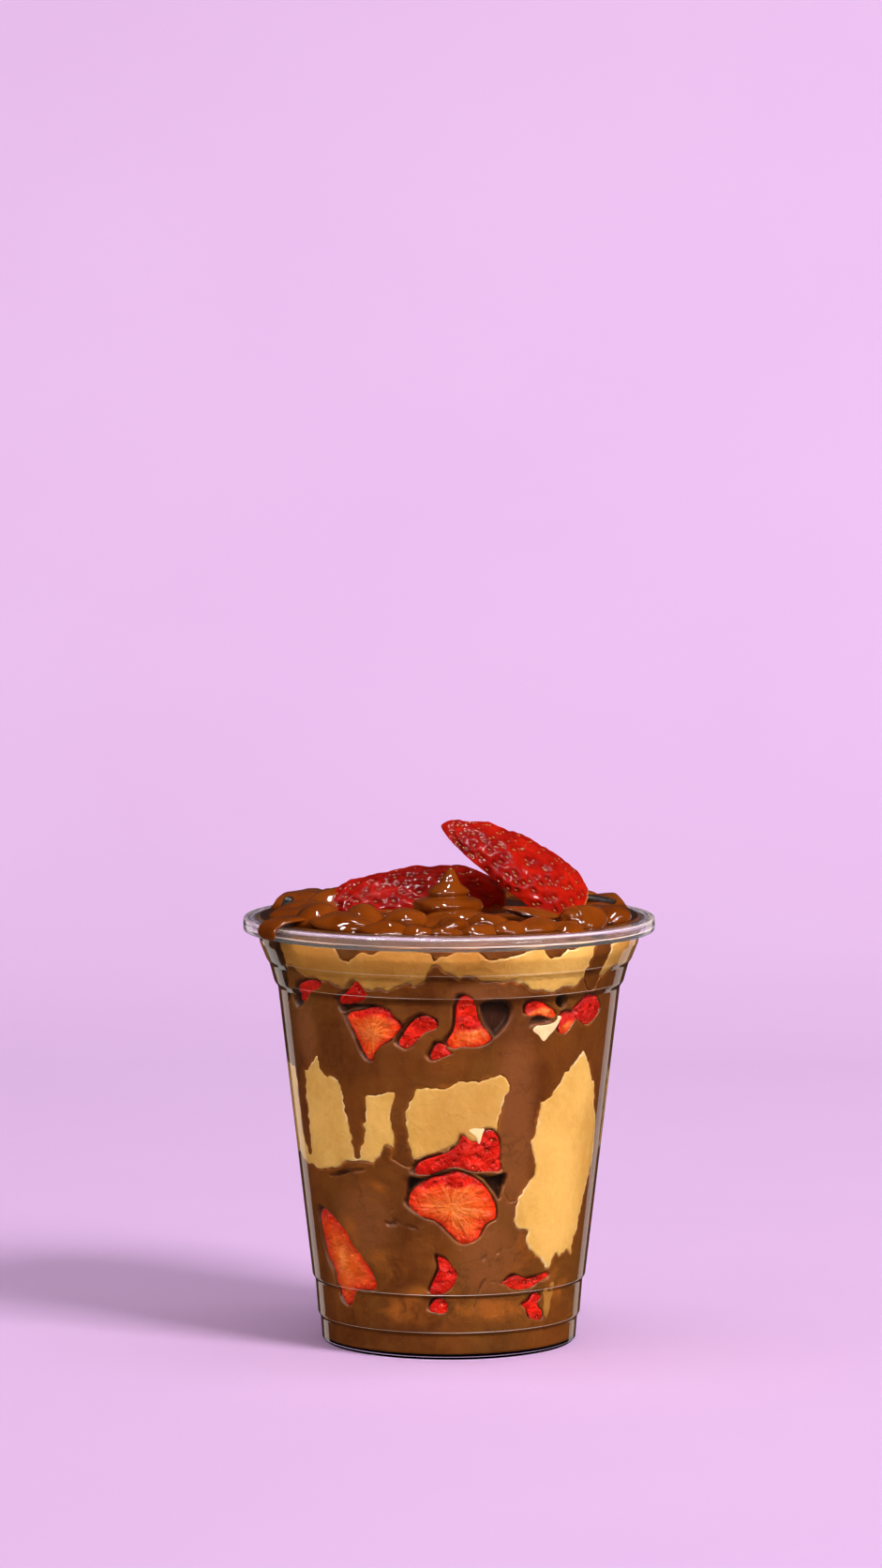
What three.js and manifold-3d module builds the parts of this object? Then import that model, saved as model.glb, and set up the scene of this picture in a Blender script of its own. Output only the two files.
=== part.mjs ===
// A clear plastic cup filled with strawberries, chocolate sauce and pale cream in layers, topped with folded
// chocolate sauce, a piped peak and two large strawberry halves. Millimetres, +Z up, the origin at the middle of the
// cup's foot. Angles go round the cup from its front (-Y) towards +X, and heights are above the surface it stands on.
import * as THREE from "three";
import { mergeVertices } from "three/addons/utils/BufferGeometryUtils.js";
import Module from "manifold-3d";

const wasm = await Module();
wasm.setup();

// Cup
const RIM_RADIUS = 49;
const CUP_HEIGHT = 101.8;
const WALL = 0.55;
const LIP_BOTTOM = 98.4;
const MOUTH_RADIUS = 45.5;
const CUP_SIDES = 36;
// Outer wall, radius and height, from the foot ring up to the flange
const WALL_LINE = [
  [29.7, 0],
  [30.3, 0.8],
  [30.7, 5.8],
  [31.3, 6.9],
  [31.95, 15.0],
  [32.6, 15.9],
  [40.75, 85.2],
  [41.6, 86.4],
  [42.8, 90.8],
  [43.5, 91.8],
  [45.1, 95.8],
  [MOUTH_RADIUS, 99.4],
];
const FOOT_RING = 28.2;
const FOOT_RISE = 0.8;

// Contents
const GAP = 0.3;
const LAYER_GAP = 0.4;
const FILL_FLOOR = FOOT_RISE + WALL + GAP;
const FLOOR_RADIUS = WALL_LINE[1][0] - WALL;
const BASE_TOP = 46.8;
const CREAM_TOP = 66.6;
const BERRY_LAYER_TOP = 89.4;
const UPPER_CREAM_TOP = 98.2;
const TOPPING_EDGE = 101.9;
const TOPPING_RADIUS = MOUTH_RADIUS - WALL - GAP - 0.15;
const DRIP_DEPTH = 4;
const CORE_RADIUS = 25;
// Columns round a layer, in degrees: closer over the front than round the back
const FRONT_REACH = 80;
const FRONT_STEP = 5;
const BACK_STEP = 10;

const COLOURS = {
  clear: 0xf2f2f4,
  chocolate: 0x6e3512,
  cream: 0xe0aa55,
  berry: 0xc01408,
  dark: 0x2a1a14,
};

// A closed geometry as a manifold solid, with its faces outwards.
function solid(geometry) {
  const bare = geometry.index ? geometry.toNonIndexed() : geometry.clone();
  bare.deleteAttribute("normal");
  bare.deleteAttribute("uv");
  const merged = mergeVertices(bare, 1e-3);
  const triVerts = new Uint32Array(merged.index.array);
  const vertProperties = new Float32Array(merged.attributes.position.array);
  const made = new wasm.Manifold(new wasm.Mesh({ numProp: 3, vertProperties, triVerts }));
  if (made.volume() > 0) return made;
  for (let i = 0; i < triVerts.length; i += 3) {
    [triVerts[i + 1], triVerts[i + 2]] = [triVerts[i + 2], triVerts[i + 1]];
  }
  return new wasm.Manifold(new wasm.Mesh({ numProp: 3, vertProperties, triVerts }));
}

// The largest body of a solid: loose scraps that a cut leaves are dropped.
function largest(body) {
  const bodies = body.decompose();
  return bodies.reduce((best, b) => (b.volume() > best.volume() ? b : best), bodies[0]);
}

function geometryOf(body) {
  const mesh = body.getMesh();
  const points = new Float32Array(mesh.numVert * 3);
  for (let i = 0; i < mesh.numVert; i++) {
    points.set(mesh.vertProperties.subarray(i * mesh.numProp, i * mesh.numProp + 3), i * 3);
  }
  return new THREE.BufferGeometry()
    .setAttribute("position", new THREE.BufferAttribute(points, 3))
    .setIndex(new THREE.BufferAttribute(mesh.triVerts, 1));
}

function lathe(line, sides) {
  const points = line.map(([r, z]) => new THREE.Vector2(r, z));
  return new THREE.LatheGeometry(points, sides).rotateX(Math.PI / 2);
}

// A number from 0 to 1 that is always the same for the same k.
function chance(k) {
  const s = Math.sin(k * 12.9898) * 43758.5453;
  return s - Math.floor(s);
}

const radians = THREE.MathUtils.degToRad;

// Outer radius of the wall at a height, along the straight stretches of WALL_LINE.
function wallRadius(z) {
  for (let i = 1; i < WALL_LINE.length; i++) {
    const [r0, z0] = WALL_LINE[i - 1];
    const [r1, z1] = WALL_LINE[i];
    if (z <= z1) return r0 + ((r1 - r0) * Math.max(0, z - z0)) / (z1 - z0);
  }
  return MOUTH_RADIUS;
}

// Matrix whose X is along the wall to the right, Y is up and Z points out, at a place on the cup's wall.
function wallPlace(angle, z, r) {
  const a = radians(angle);
  const along = new THREE.Vector3(Math.cos(a), Math.sin(a), 0);
  const up = new THREE.Vector3(0, 0, 1);
  const out = new THREE.Vector3(Math.sin(a), -Math.cos(a), 0);
  const at = out.clone().multiplyScalar(r).setZ(z);
  return new THREE.Matrix4().makeBasis(along, up, out).setPosition(at);
}

// Cup: a thin wall with a domed foot, two stacking ledges, two rings near the foot, and a rim that rolls out and down.
function cupSolid() {
  const foot = [
    [0, FOOT_RISE],
    [FOOT_RING - 2.2, FOOT_RISE],
    [FOOT_RING, 0],
  ];
  const rimOut = [
    [MOUTH_RADIUS + 0.2, CUP_HEIGHT - WALL],
    [RIM_RADIUS - 1.3, CUP_HEIGHT - WALL],
    [RIM_RADIUS - WALL, CUP_HEIGHT - 1.25],
    [RIM_RADIUS - WALL, LIP_BOTTOM + WALL],
    [RIM_RADIUS - 1.9, LIP_BOTTOM],
    [RIM_RADIUS - 0.2, LIP_BOTTOM],
    [RIM_RADIUS, CUP_HEIGHT - 1.0],
    [RIM_RADIUS - 1.0, CUP_HEIGHT],
    [MOUTH_RADIUS - WALL, CUP_HEIGHT],
  ];
  const inner = WALL_LINE.slice(2)
    .map(([r, z]) => [r - WALL, z])
    .reverse();
  const floor = [
    [FLOOR_RADIUS, FOOT_RISE + WALL],
    [0, FOOT_RISE + WALL],
  ];
  return solid(lathe([...foot, ...WALL_LINE, ...rimOut, ...inner, ...floor], CUP_SIDES));
}

// The room for the contents: the inside of the wall, a gap smaller, and a column over the mouth for the topping.
function roomSolid() {
  const side = WALL_LINE.slice(2).map(([r, z]) => [r - WALL - GAP, z]);
  const column = [
    [TOPPING_RADIUS, CUP_HEIGHT + 30],
    [0, CUP_HEIGHT + 30],
  ];
  return solid(lathe([[0, FILL_FLOOR], [FLOOR_RADIUS - GAP, FILL_FLOOR], ...side, ...column], CUP_SIDES));
}

// The angles of the columns round a layer.
function columnAngles() {
  const angles = [];
  for (let angle = -FRONT_REACH; angle < FRONT_REACH; angle += FRONT_STEP) angles.push(angle);
  for (let angle = FRONT_REACH; angle < 360 - FRONT_REACH; angle += BACK_STEP) angles.push(angle);
  return angles;
}

// A slab that fills the cup between two heights, each a function of the angle in degrees, the radius, x and y. Each
// sheet has a middle point and then a ring of points at each radius; the outer rings are joined by a side.
function slab(lower, upper, lowerRings, upperRings) {
  const angles = columnAngles();
  const count = angles.length;
  const points = [];
  const faces = [];
  function sheet(bound, rings, order) {
    const middle = points.length / 3;
    points.push(0, 0, bound(0, 0, 0, 0));
    for (const r of rings) {
      for (const angle of angles) {
        const [x, y] = [r * Math.sin(radians(angle)), -r * Math.cos(radians(angle))];
        points.push(x, y, bound(angle, r, x, y));
      }
    }
    const at = (ring, k) => middle + 1 + ring * count + (k % count);
    for (let k = 0; k < count; k++) {
      faces.push(...order(middle, at(0, k), at(0, k + 1)));
      for (let ring = 1; ring < rings.length; ring++) {
        faces.push(...order(at(ring - 1, k), at(ring, k), at(ring, k + 1)));
        faces.push(...order(at(ring - 1, k), at(ring, k + 1), at(ring - 1, k + 1)));
      }
    }
    return (k) => at(rings.length - 1, k);
  }
  const low = sheet(lower, lowerRings, (a, b, c) => [a, c, b]);
  const high = sheet(upper, upperRings, (a, b, c) => [a, b, c]);
  for (let k = 0; k < count; k++) {
    faces.push(low(k), low(k + 1), high(k + 1));
    faces.push(low(k), high(k + 1), high(k));
  }
  const geometry = new THREE.BufferGeometry();
  geometry.setAttribute("position", new THREE.Float32BufferAttribute(points, 3)).setIndex(faces);
  return solid(geometry);
}

// A layer's boundary is level in the middle of the cup. At the wall it follows its edge, given as angles and heights
// over the front, and waves round the back.
function boundary(middle, swing, edge) {
  const reach = wallRadius(middle) - WALL - GAP - CORE_RADIUS;
  const [first, last] = [edge[0], edge[edge.length - 1]];
  const atWall = (angle) => {
    if (angle < first[0] || angle > last[0]) {
      const round = ((angle - last[0] + 360) % 360) / (360 - last[0] + first[0]);
      const wave = swing * Math.sin(Math.PI * round) * Math.sin(11 * Math.PI * round);
      return last[1] + (first[1] - last[1]) * round + wave;
    }
    const i = edge.findIndex((point) => point[0] >= angle) || 1;
    const share = (angle - edge[i - 1][0]) / (edge[i][0] - edge[i - 1][0]);
    return edge[i - 1][1] + (edge[i][1] - edge[i - 1][1]) * share;
  };
  return (angle, r) => middle + ((atWall(angle) - middle) * Math.max(0, r - CORE_RADIUS)) / reach;
}

const shifted = (bound, by) => (angle, r) => bound(angle, r) + by;

const BASE_EDGE = [
  [-76, 45.5],
  [-59, 43.8],
  [-42, 46.4],
  [-31, 46.5],
  [-24, 51.3],
  [-14.5, 48.3],
  [-3.5, 49.9],
  [6, 53.5],
  [15, 54.9],
  [22.5, 47.8],
  [47, 44.7],
  [76, 47],
];
const CREAM_EDGE = [
  [-76, 67],
  [-61, 67.4],
  [-52.5, 71.1],
  [-45.5, 65.9],
  [-38.5, 60.9],
  [-30, 63.1],
  [-10, 65.3],
  [2.5, 66.7],
  [18.5, 67.9],
  [35, 60.7],
  [43, 65.9],
  [53, 72.2],
  [64.5, 62.2],
  [76, 66],
];
const BERRY_EDGE = [
  [-76, 91.5],
  [-59.5, 92.1],
  [-48, 89.8],
  [-25.5, 88.4],
  [-14.5, 90],
  [-6.5, 92.3],
  [-2.5, 94.7],
  [2.5, 92.1],
  [13.5, 91.1],
  [35.5, 87.2],
  [46, 88.7],
  [50.5, 93.2],
  [76, 91.5],
];
const UPPER_EDGE = [
  [-76, 98],
  [-39, 98.6],
  [-31, 95.8],
  [-24.5, 98.2],
  [11.5, 98.4],
  [19.5, 96.7],
  [27.5, 98],
  [35, 96.5],
  [45, 98.4],
  [76, 98],
];
const baseBound = boundary(BASE_TOP, 2.4, BASE_EDGE);
const creamBound = boundary(CREAM_TOP, 3.4, CREAM_EDGE);
const berryBound = boundary(BERRY_LAYER_TOP, 1.8, BERRY_EDGE);
const upperBound = boundary(UPPER_CREAM_TOP, 0.8, UPPER_EDGE);

// Lobes: where one layer runs over its neighbour along the wall. Each is an ellipse on the wall, with its layer, angle,
// height, half width, half height, tilt and depth. Later lobes cover earlier ones.
const BASE = "chocolate_base";
const CREAM = "cream_middle";
const MIDDLE = "chocolate_middle";
const UPPER = "cream_upper";
const TOP = "chocolate_topping";

const lobe = (layer, angle, z, halfWidth, halfHeight, tilt = 0, depth = DRIP_DEPTH) => ({
  layer,
  angle,
  z,
  halfWidth,
  halfHeight,
  tilt,
  depth,
});

const FRONT_LOBES = [
  // Cream that slid down the right of the front, and the tongue beside it
  lobe(CREAM, 51.5, 46.5, 11.2, 24.5, 5, 8),
  lobe(CREAM, 34.5, 35.2, 4.6, 6.4, -12, 5),
  lobe(CREAM, 42, 26.6, 3.2, 6, 10, 5),
  // Chocolate that ran down the wall
  lobe(MIDDLE, -68.5, 66, 2.6, 18, -4),
  lobe(MIDDLE, -36.5, 58, 2.7, 11, 4),
  lobe(MIDDLE, -17.8, 58, 2.3, 12),
  lobe(MIDDLE, 26.5, 56, 4.5, 16, -3),
  lobe(MIDDLE, 69, 60, 2.6, 16, 4),
  // Sauce that ran down from the topping
  lobe(TOP, -67, 95, 4.6, 12),
  lobe(TOP, 50, 95, 3, 9, -4),
];

// The back of the cup has runs of the same kinds, spread by a rule.
function backLobes() {
  const from = 100;
  const spacing = 54;
  const lobes = [];
  for (let k = 0; k < 3; k++) {
    const angle = from + k * spacing + 5 * (chance(k) - 0.5);
    lobes.push(lobe(MIDDLE, angle, 58, 2.6 + chance(k + 80), 14 + 3 * chance(k + 90)));
    lobes.push(lobe(TOP, angle + 16, 96, 2.8 + chance(k + 120), 7 + 2 * chance(k + 130)));
    if (k > 0) lobes.push(lobe(CREAM, angle - 22, 44, 6 + 2 * chance(k + 100), 11 + 6 * chance(k + 110), 0, 6));
  }
  return lobes;
}

// A lobe as a short elliptic prism that runs out through the wall, larger all round by grow.
function lobeSolid(l, grow) {
  const shape = new THREE.Shape();
  shape.absellipse(0, 0, l.halfWidth + grow, l.halfHeight + grow, 0, 2 * Math.PI);
  const depth = l.depth + grow + 8;
  const prism = new THREE.ExtrudeGeometry(shape, { depth, bevelEnabled: false, curveSegments: 4 });
  const inner = wallRadius(l.z) - WALL - l.depth - grow;
  prism.rotateZ(radians(l.tilt));
  prism.applyMatrix4(wallPlace(l.angle, l.z, inner));
  return solid(prism);
}

// Radius of a strawberry along its length, both as shares: a cut top end, broad shoulders and a narrow tip.
function berryRadius(t) {
  const shoulder = 0.74 + 0.26 * Math.sin((Math.PI / 2) * Math.min(1, t / 0.25));
  const along = Math.max(0, t - 0.25) / 0.75;
  return shoulder * (1 - along ** 1.45) ** 0.75;
}

// Where a strawberry's outline is sampled along its length: the large halves, and the pieces in the cup.
const FINE_STATIONS = [0, 0.12, 0.3, 0.52, 0.74, 0.88, 0.97];
const PIECE_STATIONS = [0, 0.18, 0.5, 0.82];

// A strawberry along +X with its cut top end at the origin: length, full width and full thickness.
function wholeBerry(length, width, thickness, sides, stations) {
  const line = stations.map((t) => [berryRadius(t), t * length]);
  const closed = [[0, 0], ...line, [0, length]];
  return lathe(closed, sides)
    .scale(width / 2, thickness / 2, 1)
    .applyMatrix4(
      new THREE.Matrix4().makeBasis(
        new THREE.Vector3(0, 1, 0),
        new THREE.Vector3(0, 0, 1),
        new THREE.Vector3(1, 0, 0),
      ),
    );
}

// Strawberry pieces against the wall: angle, height, length, width, depth, and the turn of the tip from straight right.
const piece = (name, angle, z, length, width, depth, turn) => ({ name, angle, z, length, width, depth, turn });

const FRONT_BERRIES = [
  piece("berry_front_centre", 0, 45.3, 18.4, 22.6, 9, -80),
  piece("berry_front_centre_upper", 19.5, 49.6, 19, 11, 7, 189),
  piece("berry_front_left_low", -59, 33.5, 24, 12.5, 7, -59),
  piece("berry_front_low_centre", 0.5, 24.4, 10, 6.8, 5, -116),
  piece("berry_front_foot_centre", 0, 13, 5, 4.4, 4, 175),
  piece("berry_front_low_right", 47, 18.8, 17.5, 4.6, 5, 184),
  piece("berry_front_foot_right", 39.5, 15.6, 7.8, 4.6, 4, -80),
  piece("berry_upper_left", -47, 89.3, 10, 6.4, 6, 212),
  piece("berry_upper_flat", -40, 86.4, 10, 6.8, 5, 8),
  piece("berry_upper_wedge", -26.5, 84.2, 13.6, 14.4, 8, -96),
  piece("berry_upper_kidney", -4.5, 81.3, 11.2, 5.8, 5, 215),
  piece("berry_upper_tall", 7.5, 75, 13.4, 11.8, 7, 93),
  piece("berry_upper_pointed", 1.6, 74.3, 6.6, 4.8, 5, 196),
  piece("berry_upper_pale", 26.4, 84, 9.6, 4.8, 5, -9),
  piece("berry_upper_small", 45.5, 82.3, 5.8, 4.8, 4, -118),
  piece("berry_upper_right", 60, 84.6, 10, 8, 6, 219),
];

function backBerries() {
  const berries = [];
  const count = 5;
  for (let k = 0; k < count; k++) {
    const low = k % 2 === 0;
    const angle = 92 + (176 / (count - 1)) * k;
    const z = low ? 30 + 8 * chance(k + 7) : 80 + 4 * chance(k + 9);
    const length = 13 + 5 * chance(k + 11);
    berries.push(piece(`berry_back_${k + 1}`, angle, z, length, 9 + 4 * chance(k + 13), 7, 360 * chance(k + 15)));
  }
  return berries;
}

// A piece whose broad axis lies on the wall, with its middle at the wall's inside, larger all round by grow.
const SMALL_LENGTH = 10;
function pieceSolid(b, grow) {
  const sides = b.length < SMALL_LENGTH ? 6 : 8;
  const sizes = [b.length, b.width, 2 * b.depth].map((size) => size + 2 * grow);
  const geometry = wholeBerry(...sizes, sides, PIECE_STATIONS);
  geometry.translate(-grow, 0, 0);
  geometry.rotateZ(radians(b.turn));
  geometry.applyMatrix4(wallPlace(b.angle, b.z, wallRadius(b.z) - WALL));
  return solid(geometry);
}

// Topping: domes of sauce, each with its middle, radius and top, that melt into each other.
const DOMES = [
  { x: -33, y: 2, r: 11, top: 107.2 },
  { x: -31, y: -15, r: 11, top: 105.6 },
  { x: -20, y: -28, r: 10.5, top: 104.6 },
  { x: -7, y: -34, r: 9.5, top: 103.9 },
  { x: 0, y: -16, r: 14.5, top: 104.9 },
  { x: 9, y: -31, r: 10, top: 104.3 },
  { x: 19, y: -23, r: 10.5, top: 105.3 },
  { x: 32, y: -16, r: 9.5, top: 106 },
  { x: 38, y: -1, r: 7.5, top: 105.2 },
  { x: 36, y: 14, r: 9, top: 105.4 },
  { x: 22, y: 27, r: 12, top: 105.8 },
  { x: 2, y: 33, r: 12.5, top: 106.2 },
  { x: -18, y: 28, r: 12, top: 105.8 },
  { x: -34, y: 16, r: 10, top: 105.6 },
  { x: 14, y: 4, r: 15, top: 105 },
  { x: -14, y: 4, r: 15, top: 105 },
];
const MELT = 4;
const MOUND = { radius: 44.2, foot: 99.5, sides: 30 };
const MOUND_RINGS = [8, 16, 24, 31, 36, 40.5];

function toppingHeight(x, y) {
  const sum = DOMES.reduce((total, d) => {
    const share = 1 - ((x - d.x) ** 2 + (y - d.y) ** 2) / d.r ** 2;
    return total + (share > 0 ? ((d.top - TOPPING_EDGE) * Math.sqrt(share)) ** MELT : 0);
  }, 0);
  return TOPPING_EDGE + sum ** (1 / MELT);
}

function moundSolid() {
  const line = [[0, 1], ...MOUND_RINGS.map((r) => [r, 1]), [MOUND.radius, 1], [MOUND.radius, 0], [0, 0]];
  const geometry = lathe(line, MOUND.sides);
  const p = geometry.attributes.position;
  for (let i = 0; i < p.count; i++) p.setZ(i, p.getZ(i) < 0.5 ? MOUND.foot : toppingHeight(p.getX(i), p.getY(i)));
  return solid(geometry);
}

// The piped peak in front of the strawberries: two tiers and a drawn-out tip, radius and height.
const PEAK = { x: -0.4, y: -16 };
const PEAK_SIDES = 14;
const PEAK_LINE = [
  [0, 102.5],
  [8.2, 102.5],
  [8.0, 104.1],
  [8.6, 105.3],
  [8.1, 106.7],
  [6.0, 107.7],
  [4.0, 108.1],
  [4.5, 109.0],
  [3.9, 109.9],
  [2.4, 111.4],
  [1.4, 113.4],
  [0, 115.0],
];

// A tongue of sauce that ran over the rim: its section in the plane through the cup's axis, and its place and width.
const SPILL = { angle: -58, width: 8 };
function spillSolid() {
  const under = CUP_HEIGHT + GAP;
  const section = new THREE.Shape();
  section.moveTo(40, 101);
  section.lineTo(TOPPING_RADIUS, 101);
  section.lineTo(TOPPING_RADIUS, under + 0.1);
  section.lineTo(RIM_RADIUS - 0.9, under + 0.1);
  section.lineTo(RIM_RADIUS + 0.45, CUP_HEIGHT - 0.9);
  section.lineTo(RIM_RADIUS + 0.45, LIP_BOTTOM - 0.2);
  section.quadraticCurveTo(RIM_RADIUS + 1.2, LIP_BOTTOM - 1.4, RIM_RADIUS + 1.6, LIP_BOTTOM);
  section.lineTo(RIM_RADIUS + 1.5, CUP_HEIGHT - 0.6);
  section.quadraticCurveTo(RIM_RADIUS + 1.2, CUP_HEIGHT + 1.2, RIM_RADIUS - 1.2, CUP_HEIGHT + 1.5);
  section.lineTo(40, CUP_HEIGHT + 2.6);
  const tongue = new THREE.ExtrudeGeometry(section, { depth: SPILL.width, bevelEnabled: false, curveSegments: 4 });
  tongue.translate(0, 0, -SPILL.width / 2);
  const a = radians(SPILL.angle);
  const out = new THREE.Vector3(Math.sin(a), -Math.cos(a), 0);
  const up = new THREE.Vector3(0, 0, 1);
  const side = new THREE.Vector3().crossVectors(out, up);
  tongue.applyMatrix4(new THREE.Matrix4().makeBasis(out, up, side));
  return solid(tongue);
}

// Large halves on top: where the middle of the cut end is, the way to the tip, the way the flat face looks, and sizes.
const HALVES = [
  {
    name: "strawberry_leaning",
    end: [29.2, -1, 102.4],
    tip: [-0.813, -0.179, 0.56],
    flat: [-0.583, 0.267, -0.762],
    length: 38.4,
    width: 24.8,
    thickness: 9.4,
  },
  {
    name: "strawberry_lying",
    end: [12.4, 9, 99.8],
    tip: [-0.985, -0.13, 0.065],
    flat: [0, 0.1, -1],
    length: 44.5,
    width: 26,
    thickness: 12.2,
  },
];

const HALF_SIDES = 20;
function halfSolid(h, grow) {
  const sizes = [h.length, h.width, 2 * h.thickness].map((size) => size + 2 * grow);
  const geometry = wholeBerry(...sizes, HALF_SIDES, FINE_STATIONS);
  geometry.translate(-grow, 0, 0);
  const half = new THREE.BoxGeometry(200, 200, 100).translate(0, 0, grow - 50);
  const u = new THREE.Vector3(...h.tip).normalize();
  const n = new THREE.Vector3(...h.flat);
  n.addScaledVector(u, -n.dot(u)).normalize();
  const place = new THREE.Matrix4().makeBasis(u, new THREE.Vector3().crossVectors(n, u), n).setPosition(...h.end);
  return solid(geometry.applyMatrix4(place)).intersect(solid(half.applyMatrix4(place)));
}

// Thin dark chocolate shards that stand out of the sauce: middle, half sizes, turn and tilt.
const SHARDS = [
  { name: "shard_right", at: [35.6, 9, 104.6], half: [4.4, 3, 0.8], turn: 18, tilt: 10 },
  { name: "shard_left", at: [-39, 6, 103], half: [1.2, 1.1, 2.8], turn: -20, tilt: 24 },
];

function shardSolid(s, grow) {
  const [a, b, c] = s.half.map((h) => 2 * (h + grow));
  const block = new THREE.BoxGeometry(a, b, c, 2, 2, 1);
  block.rotateY(radians(s.tilt)).rotateZ(radians(s.turn)).translate(...s.at);
  return solid(block);
}

// Assembly
const room = roomSolid();
const CORE_RINGS = [CORE_RADIUS, 50];
const flat = (z) => () => z;
const half = LAYER_GAP / 2;

const layers = {
  [BASE]: slab(flat(0), shifted(baseBound, -half), CORE_RINGS, CORE_RINGS),
  [CREAM]: slab(shifted(baseBound, half), shifted(creamBound, -half), CORE_RINGS, CORE_RINGS),
  [MIDDLE]: slab(shifted(creamBound, half), shifted(berryBound, -half), CORE_RINGS, CORE_RINGS),
  [UPPER]: slab(shifted(berryBound, half), shifted(upperBound, -half), CORE_RINGS, CORE_RINGS),
  [TOP]: slab(shifted(upperBound, half), flat(TOPPING_EDGE - 0.6), CORE_RINGS, CORE_RINGS),
};
for (const l of [...FRONT_LOBES, ...backLobes()]) {
  const own = lobeSolid(l, 0);
  const cut = lobeSolid(l, GAP);
  for (const name in layers) {
    layers[name] = name === l.layer ? layers[name].add(own) : layers[name].subtract(cut);
  }
}
for (const name in layers) layers[name] = layers[name].intersect(room);

const peak = solid(lathe(PEAK_LINE, PEAK_SIDES).translate(PEAK.x, PEAK.y, 0));
layers[TOP] = layers[TOP].add(moundSolid()).add(peak).add(spillSolid());

const solids = { cup: cupSolid() };
const cutters = [];
function place(name, own, cut) {
  solids[name] = largest(cutters.reduce((body, c) => body.subtract(c), own));
  cutters.push(cut);
}
for (const b of [...FRONT_BERRIES, ...backBerries()]) {
  place(b.name, pieceSolid(b, 0).intersect(room), pieceSolid(b, GAP));
}
for (const h of HALVES) place(h.name, halfSolid(h, 0), halfSolid(h, GAP));
for (const s of SHARDS) place(s.name, shardSolid(s, 0), shardSolid(s, GAP));
for (const name in layers) {
  solids[name] = largest(cutters.reduce((body, c) => body.subtract(c), layers[name]));
}

function lookOf(name) {
  if (name === "cup") {
    return new THREE.MeshStandardMaterial({ color: COLOURS.clear, roughness: 0.05, transparent: true, opacity: 0.25 });
  }
  const colour = name.startsWith("chocolate")
    ? COLOURS.chocolate
    : name.startsWith("cream")
      ? COLOURS.cream
      : name.startsWith("shard")
        ? COLOURS.dark
        : COLOURS.berry;
  return new THREE.MeshStandardMaterial({ color: colour, roughness: 0.25, metalness: 0 });
}

const group = new THREE.Group();
for (const name in solids) {
  const mesh = new THREE.Mesh(geometryOf(solids[name]), lookOf(name));
  mesh.name = name;
  group.add(mesh);
}

export default group;
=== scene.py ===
"""A clear cup of strawberries, chocolate sauce and cream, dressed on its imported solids.

Lengths are in millimetres until a mesh is made. Angles go round the cup from its front (-Y) towards +X.
Every piece is a closed surface: rings of points that run from one end point to the other.
"""
import math

import bpy
import numpy as np
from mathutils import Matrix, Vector


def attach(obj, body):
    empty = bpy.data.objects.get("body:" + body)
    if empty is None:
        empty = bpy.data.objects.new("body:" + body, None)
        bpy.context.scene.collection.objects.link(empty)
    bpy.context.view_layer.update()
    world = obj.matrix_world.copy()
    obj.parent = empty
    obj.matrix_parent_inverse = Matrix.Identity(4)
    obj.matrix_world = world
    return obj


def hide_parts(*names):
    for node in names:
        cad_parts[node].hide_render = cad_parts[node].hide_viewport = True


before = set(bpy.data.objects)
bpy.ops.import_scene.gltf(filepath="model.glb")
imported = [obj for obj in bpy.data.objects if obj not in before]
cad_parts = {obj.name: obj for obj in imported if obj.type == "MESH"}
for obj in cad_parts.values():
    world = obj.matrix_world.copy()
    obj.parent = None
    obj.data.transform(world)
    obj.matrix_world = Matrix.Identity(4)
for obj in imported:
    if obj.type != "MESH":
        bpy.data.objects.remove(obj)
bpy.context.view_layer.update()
MM = 0.001
FOOD = bpy.data.collections.new("food")

# Sizes of the cup, as in the solids, and how far the food reaches into its wall.
WALL = 0.55
MOUTH_RADIUS = 45.5
REACH = 0.15
TOPPING_EDGE = 101.9
WALL_LINE = [
    (29.7, 0), (30.3, 0.8), (30.7, 5.8), (31.3, 6.9), (31.95, 15.0), (32.6, 15.9), (40.75, 85.2),
    (41.6, 86.4), (42.8, 90.8), (43.5, 91.8), (45.1, 95.8), (45.5, 99.4),
]

# Upper edges of the layers at the wall: angle and height.
BASE_EDGE = [
    (-76, 45.5), (-63, 43.8), (-54.5, 43.6), (-43, 46.2), (-36, 47.1), (-30, 46.5), (-27, 48.3),
    (-24, 51.5), (-22, 51.2), (-14.5, 48.1), (-10.5, 49), (-4.5, 49.7), (2, 51.1), (5, 53.2),
    (5.5, 54.5), (9, 52.3), (12, 51.3), (13, 54.2), (15, 55.5), (18, 54), (22.5, 47.8), (47, 44.7),
    (76, 47),
]
CREAM_EDGE = [
    (-76, 67), (-63, 67.6), (-60, 67.2), (-56, 69.6), (-52.5, 71.4), (-51.5, 68.5), (-48.5, 66.7),
    (-43.5, 65.7), (-40.5, 62.6), (-33, 62.4), (-27, 62.9), (-21, 64.5), (-11, 65.5), (-6, 65.2),
    (1.5, 66.7), (7.5, 66.7), (14.5, 67.4), (18.5, 68.1), (21.5, 66.9), (35, 60.7), (76, 66),
]
BERRY_EDGE = [
    (-76, 91.5), (-59.5, 92.3), (-52, 89.8), (-45, 89.8), (-38, 88.9), (-25.5, 88.4), (-18.5, 88.9),
    (-13.5, 90.1), (-7.5, 91.6), (-6, 93.9), (-3.5, 95.3), (0.5, 93.5), (2.5, 92.2), (10.5, 91.3),
    (18.5, 91.1), (27.5, 89.3), (31.5, 88.4), (35.5, 87), (39.5, 88.6), (46, 88.5), (48.5, 90.8),
    (58.5, 90.2), (64, 91.6), (76, 91.5),
]
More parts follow.
